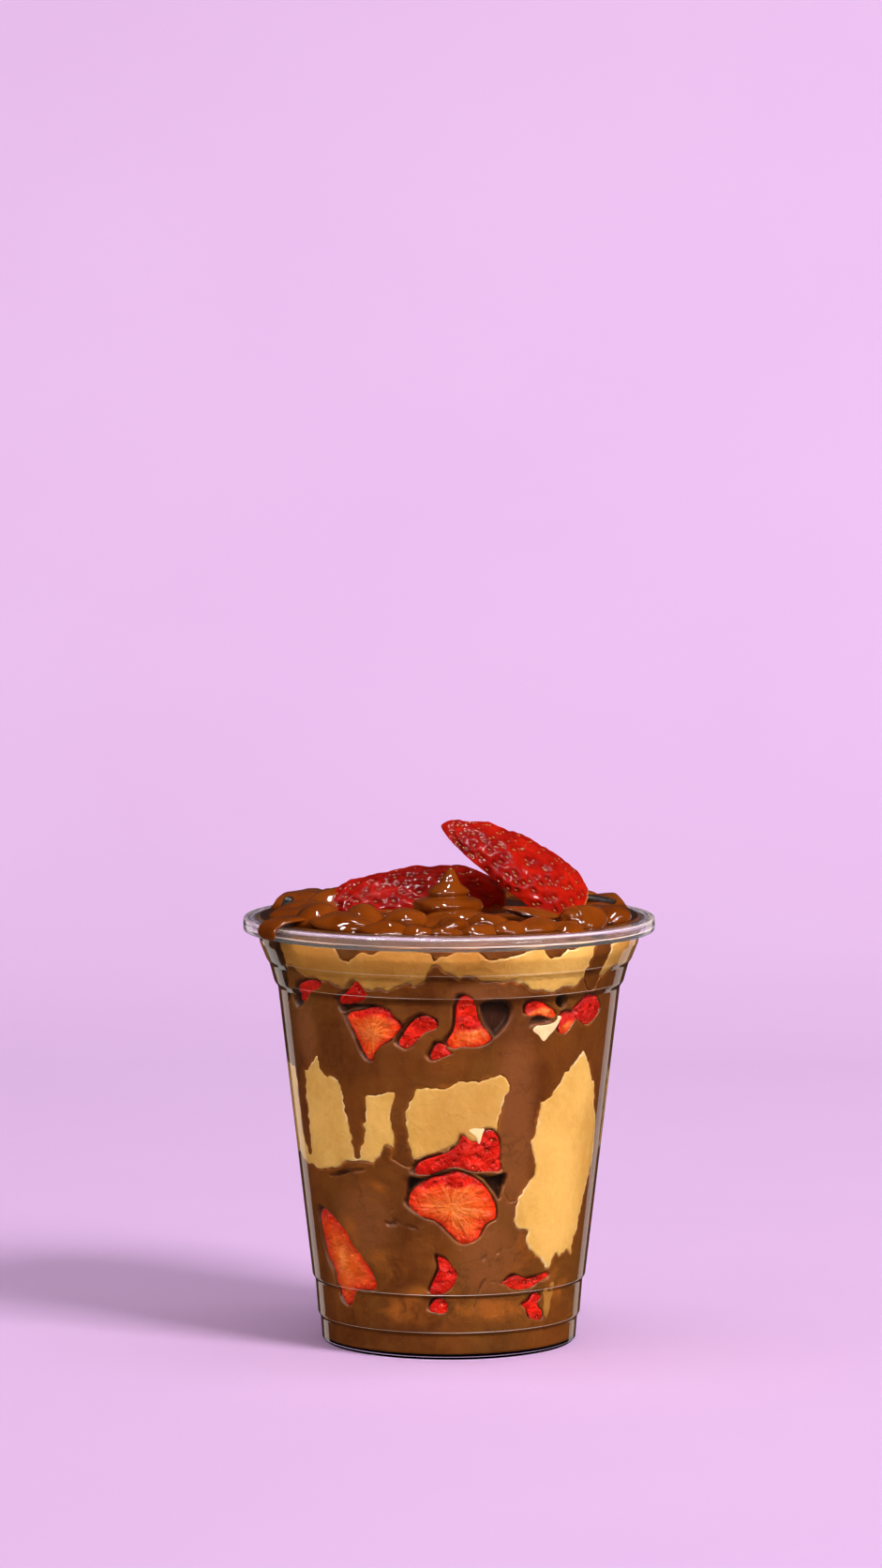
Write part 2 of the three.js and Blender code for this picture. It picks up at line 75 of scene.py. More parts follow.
UPPER_EDGE = [
    (-76, 97), (-61.5, 98.5), (-45, 98.7), (-36.5, 98), (-34, 96.2), (-31, 95.3), (-28, 97.4),
    (-12, 98.6), (-6.5, 97.8), (-4, 96.4), (-1.5, 97.8), (8, 98.4), (11.5, 96.9), (17, 96.2), (21, 96.7),
    (23.5, 98), (29, 98.2), (31.5, 96.2), (35, 95.8), (38.5, 97.8), (47, 98.5), (76, 97),
]

BASE, CREAM, MIDDLE, UPPER, TOP = (
    "chocolate_base", "cream_middle", "chocolate_middle", "cream_upper", "chocolate_topping",
)
# How far each edge waves round the back of the cup, and its points over the front.
EDGES = [(2.4, BASE_EDGE), (3.4, CREAM_EDGE), (1.8, BERRY_EDGE), (0.8, UPPER_EDGE)]

# Parts of the wall that a layer covers beyond its edges: angle and height of the points of each outline.
# Later ones cover earlier ones.
PATCHES = [
    (CREAM, [
        (36, 60.4), (41, 64.3), (43, 65.8), (46, 68.5), (51, 70.6), (53, 72.4), (56, 72), (61, 66.9),
        (65, 61.8), (67.5, 59.2), (71.5, 50.5), (69.5, 42.6), (64.5, 34.3), (64, 29.3), (59.5, 27),
        (61.5, 22.6), (56, 24.4), (52.5, 21.8), (50, 24.1), (47, 22.1), (43.5, 20.5), (40, 24),
        (36.5, 23.6), (33, 28.2), (33, 32.1), (27, 30.7), (26, 34.6), (28, 38.9), (33, 43.7), (33, 48),
        (32.5, 52.3), (34.5, 57.1),
    ]),
    (MIDDLE, [
        (-42.5, 69.9), (-41.5, 65.3), (-40.5, 56.9), (-39, 50.9), (-37.5, 47.3), (-35.5, 47.1),
        (-34, 50.6), (-32, 52.9), (-33, 56.1), (-31, 61.1), (-32.5, 63.9), (-32.5, 69.9),
    ]),
    (MIDDLE, [
        (-21, 69.9), (-19, 63.7), (-21, 59.3), (-22, 55), (-20.5, 51.8), (-22.5, 47.9), (-13, 45.9),
        (-14.5, 49.8), (-14.5, 53.6), (-16, 57.3), (-15, 61.7), (-11, 65), (-10, 69.9),
    ]),
    (MIDDLE, [
        (20.5, 69.9), (21.5, 64.2), (19, 60.5), (18, 57.8), (18, 54), (19.5, 49.3), (20.5, 43.8),
        (21.5, 37.8), (26.5, 37.3), (28, 39.4), (33, 43.7), (33, 48), (32.5, 52.3), (34.5, 57.1),
        (35, 62), (36.5, 69.9),
    ]),
    (MIDDLE, [
        (-73, 72), (-70, 61.7), (-72, 54), (-68.5, 49), (-66, 46.4), (-64, 47.8), (-63, 53.9),
        (-63, 64.5), (-62, 71.9),
    ]),
    (MIDDLE, [(61, 71.9), (65, 61.7), (71.5, 51.5), (70, 42.3), (73, 38), (78, 42), (80, 52), (80, 70)]),
    (TOP, [
        (-77, 102), (-76, 93), (-73, 86), (-69, 82.5), (-67, 84.9), (-63.5, 90), (-61, 95),
        (-61.5, 101.9),
    ]),
    (TOP, [
        (48.5, 102.1), (50, 96.1), (47, 91.4), (49, 88.1), (52.5, 86.7), (56.5, 88.6), (56.5, 93.2),
        (59, 102.1),
    ]),
]

# Hollows in the sauce at the wall, darkened with painted shade, and their depth in millimetres.
HOLLOWS = [
    (0.8, [
        (-25.2, 34.7), (-21.8, 33.9), (-17.8, 32.8), (-13.9, 32.4), (-10.4, 31.2), (-14.3, 31.6),
        (-18.5, 32.1), (-22.2, 33.2),
    ]),
    (1.4, [
        (-53.4, 42.6), (-45.8, 44.3), (-38.9, 45.3), (-32.2, 45.2), (-37.5, 44.2), (-44.2, 43.3),
        (-49.6, 41.7),
    ]),
    (0.8, [(19.7, 26.1), (22, 27.5), (22.7, 26.9), (20.8, 25.6), (18.4, 24.7)]),
    (0.9, [
        (14.8, 20), (13.3, 18.8), (12, 17.5), (11.3, 15.6), (10.6, 13.8), (9.8, 12), (10.8, 12.1),
        (11.9, 14.3), (12.4, 16), (13.4, 17.4), (14.4, 18.5), (15.9, 19.4),
    ]),
    (3.0, [
        (-18, 40.7), (-16.5, 43.4), (-14.5, 44.4), (-9.5, 44), (-7.5, 44.3), (-10, 42.9), (-13, 41.7),
        (-15.5, 40), (-16.5, 38.2), (-17.5, 38.9),
    ]),
    (3.0, [
        (10, 45.1), (13.5, 44.8), (19.5, 44.4), (22, 45), (22, 42.3), (21, 40.6), (20, 38.8), (19, 38.4),
        (16.5, 40.7), (14, 42.8), (11, 44.2),
    ]),
    (2.4, [
        (-40, 85.3), (-39, 85.9), (-35.5, 85.6), (-33, 84.8), (-24, 85), (-21, 84.6), (-25.5, 84.2),
        (-31, 83.6), (-35.5, 82.9), (-37.5, 81.9), (-39.5, 82.9), (-40.5, 84.2),
    ]),
    (3.0, [
        (-63.5, 86.9), (-59.5, 86.3), (-58, 84.8), (-57.5, 83.5), (-60, 82.2), (-63, 81.3),
        (-65.5, 83.1),
    ]),
    (2.2, [
        (9.5, 86.3), (19.5, 86.3), (22, 84.6), (22, 83), (20.5, 80.9), (18, 78.7), (15.5, 77),
        (13.5, 78.8), (11.5, 80.6), (10, 83.3),
    ]),
    (3.0, [(37, 85.5), (38, 86.8), (41, 86.5), (43, 84.3), (41.5, 82.8), (39.5, 83.8)]),
    (1.6, [
        (28, 81.3), (30.5, 82.3), (34, 81.6), (37.5, 80.8), (39.5, 81.6), (40.5, 82.6), (43, 82.7),
        (40.5, 81.5), (37.5, 80.3), (33.5, 80.1), (30, 80.1), (28.5, 79.5), (27.5, 78.8),
    ]),
    (1.2, [
        (-27, 33.6), (-24.5, 32.9), (-22.5, 33.4), (-20, 32.6), (-19.6, 31.9), (-22.4, 32.2),
        (-25, 31.8),
    ]),
    (1.0, [(-24.2, 35.6), (-22.6, 36.6), (-21.4, 36.2), (-22.8, 35.2)]),
    (0.8, [(22, 26.2), (24.5, 27.1), (27, 26.8), (24.6, 26.2)]),
    (0.8, [(13, 24.6), (15, 25.8), (15.6, 25.2), (14.2, 23.9)]),
]

# Where the sauce is thin and glows orange: angle, height, half width and half height in millimetres.
THIN_SPOTS = [
    (-43, 27, 4, 7), (-28, 22, 6, 4), (-8, 15, 8, 3), (3, 12, 7, 2.4), (30, 26, 4, 6), (-50, 20, 4, 4),
    (-20, 12, 9, 3.5), (20, 12, 8, 3), (52, 16, 4, 5), (-57, 60, 2, 9), (-30, 40, 4, 2.5),
]

# Strawberry pieces at the wall: how deep they reach inwards, the height below which their flesh is cut, or 0
# for skin all over, the middle of the flesh's rays, and the outline, all in degrees and millimetres.
PIECES = {
    "berry_front_centre": (9, 42.6, (1, 37), [
        (-15.5, 40.3), (-13, 42.1), (-9.5, 43.3), (-6, 44.3), (-2.5, 44.7), (1, 45.4), (3.5, 46.1),
        (5.5, 45.6), (8.5, 44.9), (11, 44), (14, 42.6), (16.5, 40.7), (18, 38.9), (19.5, 36.8),
        (19.5, 34.8), (19, 33.6), (16.5, 33.3), (14.5, 32.2), (13.5, 30.6), (12.5, 29.5), (11, 28.4),
        (8.5, 27.8), (5.5, 27.6), (3.5, 28.3), (2, 29.4), (-0.5, 30.8), (-2.5, 32.1), (-5.5, 33.5),
        (-8.5, 34.1), (-11.5, 34.5), (-14, 35.4), (-16, 36.7), (-17, 38.4),
    ]),
    "berry_front_centre_upper": (7, 0, (5, 48), [
        (-14, 44.8), (-13, 46.9), (-10, 48.3), (-6, 49), (-2.5, 49.7), (1, 50.8), (3.5, 52.2), (4, 53.7),
        (5.5, 54.6), (8, 53.7), (10, 52.3), (12, 52.7), (12, 54.3), (13, 55.4), (15.5, 55.8), (17.5, 55),
        (19, 53.2), (20, 50.7), (20, 47.8), (21, 45.7), (19, 44.7), (13.5, 44.8), (10, 45.3),
        (6.5, 45.8), (3.5, 46.3), (-2.5, 45.9), (-7.5, 44.7), (-11.5, 44),
    ]),
    "berry_front_left_low": (7, 60, (-20, 90), [
        (-63, 33.8), (-60, 34.6), (-56.5, 33.9), (-52.5, 32.9), (-48.5, 31.6), (-45.5, 30), (-43, 28.1),
        (-40.5, 26.1), (-37, 23.8), (-34.5, 21.7), (-32, 19.5), (-30.5, 17.6), (-31, 16), (-36, 15.7),
        (-42, 15.5), (-43.5, 14), (-45, 12.6), (-48.5, 10.9), (-52, 11.4), (-54.5, 13.2), (-54, 16),
        (-56, 18.8), (-58.5, 21.3), (-60.5, 23.6), (-62.5, 26.2), (-62, 29.4), (-64, 32),
    ]),
    "berry_front_low_centre": (5, 0, (-2, 20), [
        (-5, 25.6), (-2, 25.1), (1, 23.8), (3.5, 21.7), (4, 20.2), (3, 18.6), (0.5, 17), (-2.5, 15.9),
        (-5.5, 15.6), (-8, 15.8), (-8.5, 16.9), (-7, 18.8), (-5.5, 20.6), (-4, 22), (-4.5, 23.5),
    ]),
    "berry_front_foot_centre": (4, 0, (-4, 13), [
        (-8.5, 11.6), (-8.5, 12.8), (-7, 14.4), (-4.5, 15.1), (-2, 15.1), (0, 14.2), (0.5, 12.8),
        (-0.5, 11.5), (-2.5, 11), (-6, 11.2),
    ]),
    "berry_front_low_right": (5, 0, (33, 18), [
        (17.5, 18.8), (21, 18.4), (24, 18.8), (26.5, 19.8), (29, 20.1), (31.5, 19.5), (34.5, 18.7),
        (38, 19), (41.5, 19.4), (45.5, 20), (48, 19.2), (44.5, 18.1), (41, 17.2), (37.5, 16.5),
        (33.5, 16.3), (30, 16.2), (26.5, 16.8), (23.5, 17.7), (20, 18),
    ]),
    "berry_front_foot_right": (4, 0, (39, 12), [
        (39.5, 15.7), (42.5, 14.8), (44, 13.5), (41.5, 12.8), (42.5, 11.7), (45, 10.4), (45.5, 8.9),
        (43, 7.9), (38.5, 8.2), (37, 9.8), (35.5, 11.3), (32.5, 12.2), (34.5, 13), (37, 13.3),
        (38, 14.3),
    ]),
    "berry_upper_left": (6, 0, (-53, 87), [
        (-60, 86.3), (-57.5, 88), (-53, 89.3), (-48.5, 90), (-45, 89.6), (-46, 87.9), (-49.5, 86.6),
        (-53, 85.4), (-56.5, 83.6), (-59.5, 83.8),
    ]),
    "berry_upper_flat": (5, 0, (-32, 87), [
        (-30.5, 90.9), (-29, 89.8), (-28, 88.5), (-26, 87.4), (-27.5, 86), (-31.5, 85.1), (-35, 84.5),
        (-39, 84.3), (-40, 85.3), (-37.5, 86.7), (-34.5, 88), (-32.5, 89.4),
    ]),
    "berry_upper_wedge": (8, 82.6, (-27, 78), [
        (-37.5, 81.9), (-35.5, 82.9), (-31.5, 83.3), (-28, 84.2), (-24.5, 84.5), (-21.5, 84.4),
        (-19.5, 83.6), (-18.5, 82.3), (-16.5, 80.8), (-16.5, 79.4), (-18, 77.8), (-20.5, 76.4),
        (-23.5, 75.2), (-25, 74.2), (-26.5, 72.8), (-27, 71.5), (-28.5, 70.8), (-30, 71.8),
        (-31.5, 73.7), (-32.5, 75.7), (-34.5, 77.6), (-36, 79.8),
    ]),
    "berry_upper_kidney": (5, 0, (-10, 79), [
        (-17.5, 75.2), (-17.5, 76.5), (-16, 78.1), (-14.5, 79.7), (-12.5, 81.3), (-10.5, 82.4),
        (-8, 82.9), (-5.5, 82.7), (-4, 81.4), (-3.5, 80.1), (-4.5, 79.2), (-7, 78.7), (-9, 78),
        (-10.5, 76.9), (-12.5, 75.7), (-14, 74.8), (-16, 74.5),
    ]),
    "berry_upper_tall": (7, 80, (6, 84), [
        (2.5, 86.1), (4, 87.7), (6.5, 87.9), (8.5, 87), (9.5, 85.1), (10.5, 82.4), (12, 80), (14, 78.4),
        (15.5, 77), (13.5, 75.9), (11, 75.1), (7.5, 74.7), (5, 74.7), (2, 74.3), (0, 74.7), (-1.5, 76.1),
        (0, 77.6), (1.5, 79.4), (2, 81.6), (2, 83.9),
    ]),
    "berry_upper_pointed": (5, 0, (-2, 74), [
        (-7, 72.5), (-6, 74.3), (-5, 75.6), (-3.5, 76.5), (-1, 75.6), (1, 74.5), (2, 73.6), (0, 73),
        (-2.5, 72.7), (-5, 72),
    ]),
    "berry_upper_pale": (5, 84, (31, 84), [
        (26.5, 82), (26, 83.8), (27, 85.1), (28.5, 85.9), (32, 85.6), (35, 84.5), (38, 83), (39.5, 81.6),
        (37.5, 80.8), (34, 81.6), (31, 82.2), (28, 81.7),
    ]),
    "berry_upper_small": (4, 80, (44, 80), [
        (41.5, 81.9), (43.5, 82.7), (46, 82.1), (48, 80.8), (48, 79.7), (47, 78.4), (45, 77.2),
        (42.5, 76.9), (41, 77.2), (40, 78.6), (40.5, 80.4),
    ]),
    "berry_upper_right": (6, 0, (55, 82), [
        (46.5, 81.8), (48, 83.3), (51, 84.4), (52.5, 85.7), (55, 86.2), (60, 85.1), (62.5, 83.3),
        (63, 81.7), (61, 80.1), (59, 78.9), (55.5, 78.3), (51.5, 78.8), (48.5, 80.1),
    ]),
}

# Gaps beside the pieces, darkened as a painted shadow above and left of each: how deep, and how far up
# (millimetres) and to the left (degrees).
GAP_DEPTH, GAP_LEFT, GAP_UP = 1.3, 1.5, 0.5
for _, _, _, outline in PIECES.values():
    HOLLOWS.append((GAP_DEPTH, [(angle - GAP_LEFT, z + GAP_UP) for angle, z in outline]))

# Thin streaks of cream over the sauce: angle and height of the points of each outline.
SMEARS = {
    "cream_smear": [
        (28.6, 78.6), (29.9, 79.8), (32.9, 79.6), (36, 79.8), (38.4, 80.3), (40.5, 81.6), (41.6, 81.2),
        (39.9, 79.5), (38.3, 78.1), (36.4, 77.1), (34.4, 75.6), (33.4, 75.9), (31.3, 77.2),
    ],
    "cream_drip": [
        (6.5, 55.6), (7.9, 54.7), (9.6, 53.9), (10.5, 52.2), (11.3, 52), (11.8, 53.6), (12.4, 54.8),
        (13.2, 55.8), (10, 56.3),
    ],
    "cream_patch": [
        (43.1, 16.5), (46.4, 17.2), (49.5, 17.6), (51.4, 15.1), (50.8, 12.8), (49.3, 9.8), (46.8, 7.9),
        (44.7, 10.2), (44.9, 13.2),
    ],
}
SMEAR_DEPTH, SMEAR_REACH = 3.0, 0.27


# The back of the cup, in the manner of its front.

def chance(k):
    """A number from 0 to 1 that is always the same for the same k: the fraction of a large sine."""
    s = math.sin(k * 12.9898) * 43758.5453
    return s - math.floor(s)


def straight_wall(z):
    """Outer radius of the cup at a height, along the straight parts of its outline."""
    return np.interp(z, [height for _, height in WALL_LINE], [radius for radius, _ in WALL_LINE])


def oval(angle, z, half_width, half_height, count=12, uneven=0.0):
    """Outline of an ellipse on the wall, in degrees and millimetres, made uneven by two waves."""
    turn = np.linspace(0, 2 * math.pi, count, endpoint=False)
    share = 1 + uneven * (np.sin(3 * turn + angle) + 0.6 * np.sin(5 * turn + 2 * z))
    across = np.degrees(half_width / straight_wall(z)) * np.cos(turn) * share
    return list(zip(angle + across, z + half_height * np.sin(turn) * share))


FIRST_RUN, RUN_STEP, BACK_RUNS = 100, 54, 3
FIRST_BERRY, BERRY_STEP, BACK_BERRIES = 92, 44, 5
for k in range(BACK_RUNS):
    angle = FIRST_RUN + k * RUN_STEP + 5 * (chance(k) - 0.5)
    PATCHES.append((MIDDLE, oval(angle, 58, 2.6 + chance(k + 80), 14 + 3 * chance(k + 90))))
    PATCHES.append((TOP, oval(angle + 16, 96, 2.8 + chance(k + 120), 7 + 2 * chance(k + 130))))
    if k > 0:
        PATCHES.append((CREAM, oval(angle - 22, 44, 6 + 2 * chance(k + 100), 11 + 6 * chance(k + 110))))
for k in range(BACK_BERRIES):
    low = k % 2 == 0
    angle = FIRST_BERRY + BERRY_STEP * k
    z = 30 + 8 * chance(k + 7) if low else 80 + 4 * chance(k + 9)
    size = 6 + 2.5 * chance(k + 11)
    outline = oval(angle, z - 4, size * 0.8, size, 24, 0.09)
    PIECES[f"berry_back_{k + 1}"] = (7, 0 if low else z - 1, (angle, z), outline)


# Surfaces.

def noise(points, wavelength, seed, count=18):
    """A smooth random field, mostly -1 to 1: the sum of sine waves of like length in random directions."""
    draw = np.random.default_rng(seed)
    way = draw.normal(size=(count, 3))
    way /= np.linalg.norm(way, axis=1)[:, None]
    way *= (2 * math.pi / (wavelength * draw.uniform(0.7, 1.5, count)))[:, None]
    phase = draw.uniform(0, 2 * math.pi, count)
    total = np.zeros(points.shape[:-1])
    for k in range(count):
        total += np.sin(points @ way[k] + phase[k])
    return total * 0.75 / math.sqrt(count / 2)


def smooth(x):
    """0 below 0, 1 above 1, and x*x*(3 - 2x) between."""
    x = np.clip(x, 0, 1)
    return x * x * (3 - 2 * x)


def rounded(line, times=2, closed=True):
    """Cuts the corners of a line: each side keeps its points at a quarter and three quarters."""
    line = np.array(line, float)
    for _ in range(times):
        following = np.roll(line, -1, axis=0) if closed else line[1:]
        start = line if closed else line[:-1]
        cut = np.stack([0.75 * start + 0.25 * following, 0.25 * start + 0.75 * following], axis=1)
        cut = cut.reshape(-1, 2)
        line = cut if closed else np.vstack([line[:1], cut, line[-1:]])
    return line


HEIGHTS = np.arange(-3, 106, 0.05)
CORNER = np.hanning(13)
RADII = np.convolve(np.pad(straight_wall(HEIGHTS), 6, mode="edge"), CORNER / CORNER.sum(), mode="valid")


def wall(z):
    """Outer radius of the cup's wall at a height, its corners slightly rounded."""
    return np.interp(z, HEIGHTS, RADII)


def around(angle, radius, z):
    """Points from an angle in degrees, a radius and a height: (r sin a, -r cos a, z)."""
    angle, radius, z = np.broadcast_arrays(np.radians(angle), radius, z)
    return np.stack([radius * np.sin(angle), -radius * np.cos(angle), z], axis=-1)


def place(name, mesh, nodes=()):
    """Puts a mesh in the scene, on the one body, instead of the nodes that it stands for."""
    made = bpy.data.objects.new(name, mesh)
    bpy.context.scene.collection.objects.link(made)
    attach(made, "root")
    if nodes:
        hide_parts(*nodes)
    return made


def shell(name, rings, material, nodes=(), values=None, other=None):
    """A closed mesh through rings of points (rings, points, 3): neighbours are joined by quads, and the first
    and last ring by triangles to their middles. values gives numbers per point, kept as attributes. other
    gives a second material and the first and last ring that it lies between."""
    rings = np.asarray(rings, float)
    rows, columns = rings.shape[:2]
    points = np.vstack([rings.reshape(-1, 3), rings[0].mean(0), rings[-1].mean(0)])
    i, j = np.mgrid[0:rows - 1, 0:columns]
    k = (j + 1) % columns
    quads = np.stack([i * columns + j, i * columns + k, (i + 1) * columns + k, (i + 1) * columns + j], -1)
    quads = quads.reshape(-1, 4)
    j = np.arange(columns)
    k = (j + 1) % columns
    last = (rows - 1) * columns
    fans = np.vstack([
        np.stack([k, j, np.full(columns, rows * columns)], -1),
        np.stack([last + j, last + k, np.full(columns, rows * columns + 1)], -1),
    ])
    triangles = np.vstack([quads[:, [0, 1, 2]], quads[:, [0, 2, 3]], fans])
    a, b, c = (points[triangles[:, m]] for m in range(3))
    if np.einsum("ij,ij->i", a, np.cross(b, c)).sum() < 0:
        quads, fans = quads[:, ::-1], fans[:, ::-1]
    mesh = bpy.data.meshes.new(name)
    mesh.vertices.add(len(points))
    mesh.vertices.foreach_set("co", (points * MM).ravel())
    mesh.loops.add(quads.size + fans.size)
    mesh.loops.foreach_set("vertex_index", np.concatenate([quads.ravel(), fans.ravel()]))
    mesh.polygons.add(len(quads) + len(fans))
    starts = np.concatenate([np.arange(len(quads)) * 4, quads.size + np.arange(len(fans)) * 3])
    mesh.polygons.foreach_set("loop_start", starts)
    mesh.polygons.foreach_set("use_smooth", np.ones(len(starts), bool))
    mesh.update(calc_edges=True)
    for key, value in (values or {}).items():
        value = np.asarray(value, float)
        value = np.concatenate([value.ravel(), [value[0].mean(), value[-1].mean()]])
        mesh.attributes.new(key, "FLOAT", "POINT").data.foreach_set("value", value)
    mesh.materials.append(material)
    if other:
        second, first_ring, last_ring = other
        mesh.materials.append(second)
        index = np.zeros(len(starts), np.int32)
        index[first_ring * columns:min(last_ring * columns, len(quads))] = 1
        index[len(quads) + columns:] = last_ring >= rows
        mesh.polygons.foreach_set("material_index", index)
    made = place(name, mesh, nodes)
    if material in BEHIND_WALL and name != "sauce_top":
        FOOD.objects.link(made)


# Materials.

def material_of(name):
    """A new material with nodes, and its tree and shader."""
    made = bpy.data.materials.new(name)
    made.use_nodes = True
    return made, made.node_tree, made.node_tree.nodes["Principled BSDF"]


def node(tree, kind, inputs=None, **settings):
    """Adds a node. inputs gives numbers, colours or sockets by the input's name or place."""
    made = tree.nodes.new("ShaderNode" + kind)
    for key, value in settings.items():
        setattr(made, key, value)
    fill(tree, made, inputs or {})
    return made


def fill(tree, made, inputs):
    """Links or sets a node's inputs."""
    for key, value in inputs.items():
        if isinstance(value, bpy.types.NodeSocket):
            tree.links.new(value, made.inputs[key])
        else:
            made.inputs[key].default_value = value


def maths(tree, operation, a, b=0.0):
    """One step of arithmetic on two numbers or sockets."""
    return node(tree, "Math", {0: a, 1: b}, operation=operation).outputs[0]


def times(tree, a, b):
    """The product of two numbers or sockets."""
    return maths(tree, "MULTIPLY", a, b)


def blend(tree, share, a, b):
    """Mixes two colours by a share from 0 to 1."""
    return node(tree, "Mix", {0: share, 6: a, 7: b}, data_type="RGBA").outputs[2]


def tinted(tree, colour, tints):
    """Lays tints over a colour, one after the other: each has a mask, its largest share and its colour."""
    for mask, most, tint in tints:
        share = mask if most == 1 else times(tree, mask, most)
        colour = blend(tree, share, colour, tint)
    return colour


def between(tree, value, low, high, to_low=0.0, to_high=1.0):
    """Maps a value's range to another, clamped."""
    inputs = {"Value": value, "From Min": low, "From Max": high, "To Min": to_low, "To Max": to_high}
    return node(tree, "MapRange", inputs, clamp=True).outputs[0]


def attribute(tree, name):
    """A piece's own number per point."""
    return node(tree, "Attribute", attribute_name=name).outputs["Fac"]


def bump(tree, height, distance):
    """Normal from a height, whose full step is that many millimetres."""
    return node(tree, "Bump", {"Height": height, "Distance": distance * MM}).outputs["Normal"]


def group(name, inputs, outputs):
    """A new node group with float or colour sockets, and its input and output sockets."""
    made = bpy.data.node_groups.new(name, "ShaderNodeTree")
    for label, value in inputs.items():
        socket = made.interface.new_socket(label, in_out="INPUT", socket_type="NodeSocketFloat")
        socket.default_value = value
    for label in outputs:
        kind = "NodeSocketColor" if label == "Colour" else "NodeSocketFloat"
        made.interface.new_socket(label, in_out="OUTPUT", socket_type=kind)
    return made, made.nodes.new("NodeGroupInput").outputs, made.nodes.new("NodeGroupOutput").inputs


def use(tree, made, **inputs):
    """Places a group and gives its outputs."""
    placed = tree.nodes.new("ShaderNodeGroup")
    placed.node_tree = made
    fill(tree, placed, inputs)
    return placed.outputs


METRE = 1000.0


def clouds_group():
    """Soft noise on the object's own coordinates: size in millimetres, stretch along the height, and the two
    noise values that become 0 and 1."""
    tree, start, end = group("clouds", {"Size": 10, "Tall": 1, "Low": 0.35, "High": 0.65}, ["Mask"])
    at = node(tree, "TexCoord").outputs["Object"]
    flatter = maths(tree, "DIVIDE", 1.0, start["Tall"])
    squeeze = node(tree, "CombineXYZ", {0: 1.0, 1: 1.0, 2: flatter}).outputs[0]
    at = node(tree, "VectorMath", {0: at, 1: squeeze}, operation="MULTIPLY").outputs[0]
    scale = maths(tree, "DIVIDE", METRE, start["Size"])
    field = node(tree, "TexNoise", {
        "Vector": at, "Scale": scale, "Detail": 4.0, "Roughness": 0.58, "Distortion": 0.4,
    }).outputs["Fac"]
    tree.links.new(between(tree, field, start["Low"], start["High"]), end["Mask"])
    return tree


def dots_group():
    """Scattered dots: 1 in the middle of each, 0 outside. Spacing and radius are in millimetres."""
    tree, start, end = group("dots", {"Spacing": 3, "Radius": 0.3}, ["Mask"])
    at = node(tree, "TexCoord").outputs["Object"]
    scale = maths(tree, "DIVIDE", METRE, start["Spacing"])
    cells = node(tree, "TexVoronoi", {"Vector": at, "Scale": scale}).outputs["Distance"]
    edge = maths(tree, "DIVIDE", start["Radius"], start["Spacing"])
    inner = times(tree, edge, 0.4)
    tree.links.new(between(tree, cells, inner, edge, 1.0, 0.0), end["Mask"])
    return tree


CLOUDS = clouds_group()
DOTS = dots_group()


def clouds(tree, **inputs):
    """The soft noise, placed with the given inputs."""
    return use(tree, CLOUDS, **inputs)["Mask"]


def dots(tree, **inputs):
    """The scattered dots, placed with the given inputs."""
    return use(tree, DOTS, **inputs)["Mask"]


def sauce_group():
    """Milk chocolate sauce: brown of two depths with upright streaks, painted shade in crevice lines and small
    pits, redder where open to the air, orange where it thins out, and near black painted shade where marked."""
    tree, start, end = group(
        "sauce_look", {"Thin": 0, "Deep": 0, "Veil": 0, "Open": 0}, ["Colour", "Height", "Small"],
    )
    broad = clouds(tree, Size=17)
    small = clouds(tree, Size=2.6, Low=0.3, High=0.72)
    streaks = clouds(tree, Size=6, Tall=9, Low=0.4, High=0.66)
    olive = clouds(tree, Size=24, Tall=1.6, Low=0.5, High=0.62)
    # Small pits, sunk in the bump and darkened with painted shade.
    pits = dots(tree, Spacing=3.4, Radius=0.2)
    # Painted shade in thin dark crevice lines over part of the sauce.
    middle = maths(tree, "SUBTRACT", clouds(tree, Size=9, Low=0.3, High=0.7), 0.5)
    crevice_shade = between(tree, maths(tree, "ABSOLUTE", middle), 0.0, 0.06, 0.45, 0.0)
    crevice_shade = times(tree, crevice_shade, clouds(tree, Size=13, Low=0.42))
    in_air = blend(tree, broad, (0.2, 0.034, 0.001, 1), (0.33, 0.066, 0.005, 1))
    at_wall = blend(tree, broad, (0.082, 0.015, 0.0006, 1), (0.17, 0.042, 0.004, 1))
    colour = tinted(tree, at_wall, [
        (olive, 0.5, (0.15, 0.055, 0.006, 1)),
        # Paler veil; the tall one right of the front is a painted reflection.
        (start["Veil"], 0.8, (0.24, 0.07, 0.02, 1)),
        (streaks, 0.4, (0.19, 0.055, 0.007, 1)),
        (small, 0.16, (0.26, 0.085, 0.014, 1)),
        # Painted shade in the crevice lines.
        (crevice_shade, 1, (0.04, 0.008, 0.001, 1)),
        (start["Open"], 1, in_air),
        (start["Thin"], 0.8, (0.37, 0.1, 0.011, 1)),
        # Near black painted shade in hollows, creases, under the ledges and under the lumps.
        (start["Deep"], 1, (0.022, 0.005, 0.0015, 1)),
        # Painted shade in the pits.
        (pits, 0.6, (0.05, 0.012, 0.003, 1)),
    ])
    tree.links.new(colour, end["Colour"])
    tree.links.new(maths(tree, "SUBTRACT", times(tree, small, 0.5), pits), end["Height"])
    tree.links.new(small, end["Small"])
    return tree


def skin_group():
    """Strawberry skin: deep red and a brighter red in soft clouds, painted shade in the dimples, and pale
    seeds.
    """
    tree, start, end = group("skin_look", {"Dimple": 0, "Seed": 0}, ["Colour"])
    red = blend(tree, clouds(tree, Size=8), (0.36, 0.004, 0.002, 1), (0.68, 0.014, 0.004, 1))
    colour = tinted(tree, red, [
        # Painted shade in the dimples.
        (start["Dimple"], 0.6, (0.17, 0.002, 0.002, 1)), (start["Seed"], 0.7, (0.92, 0.37, 0.12, 1)),
    ])
    tree.links.new(colour, end["Colour"])
    return tree


SAUCE_LOOK = sauce_group()
SKIN_LOOK = skin_group()


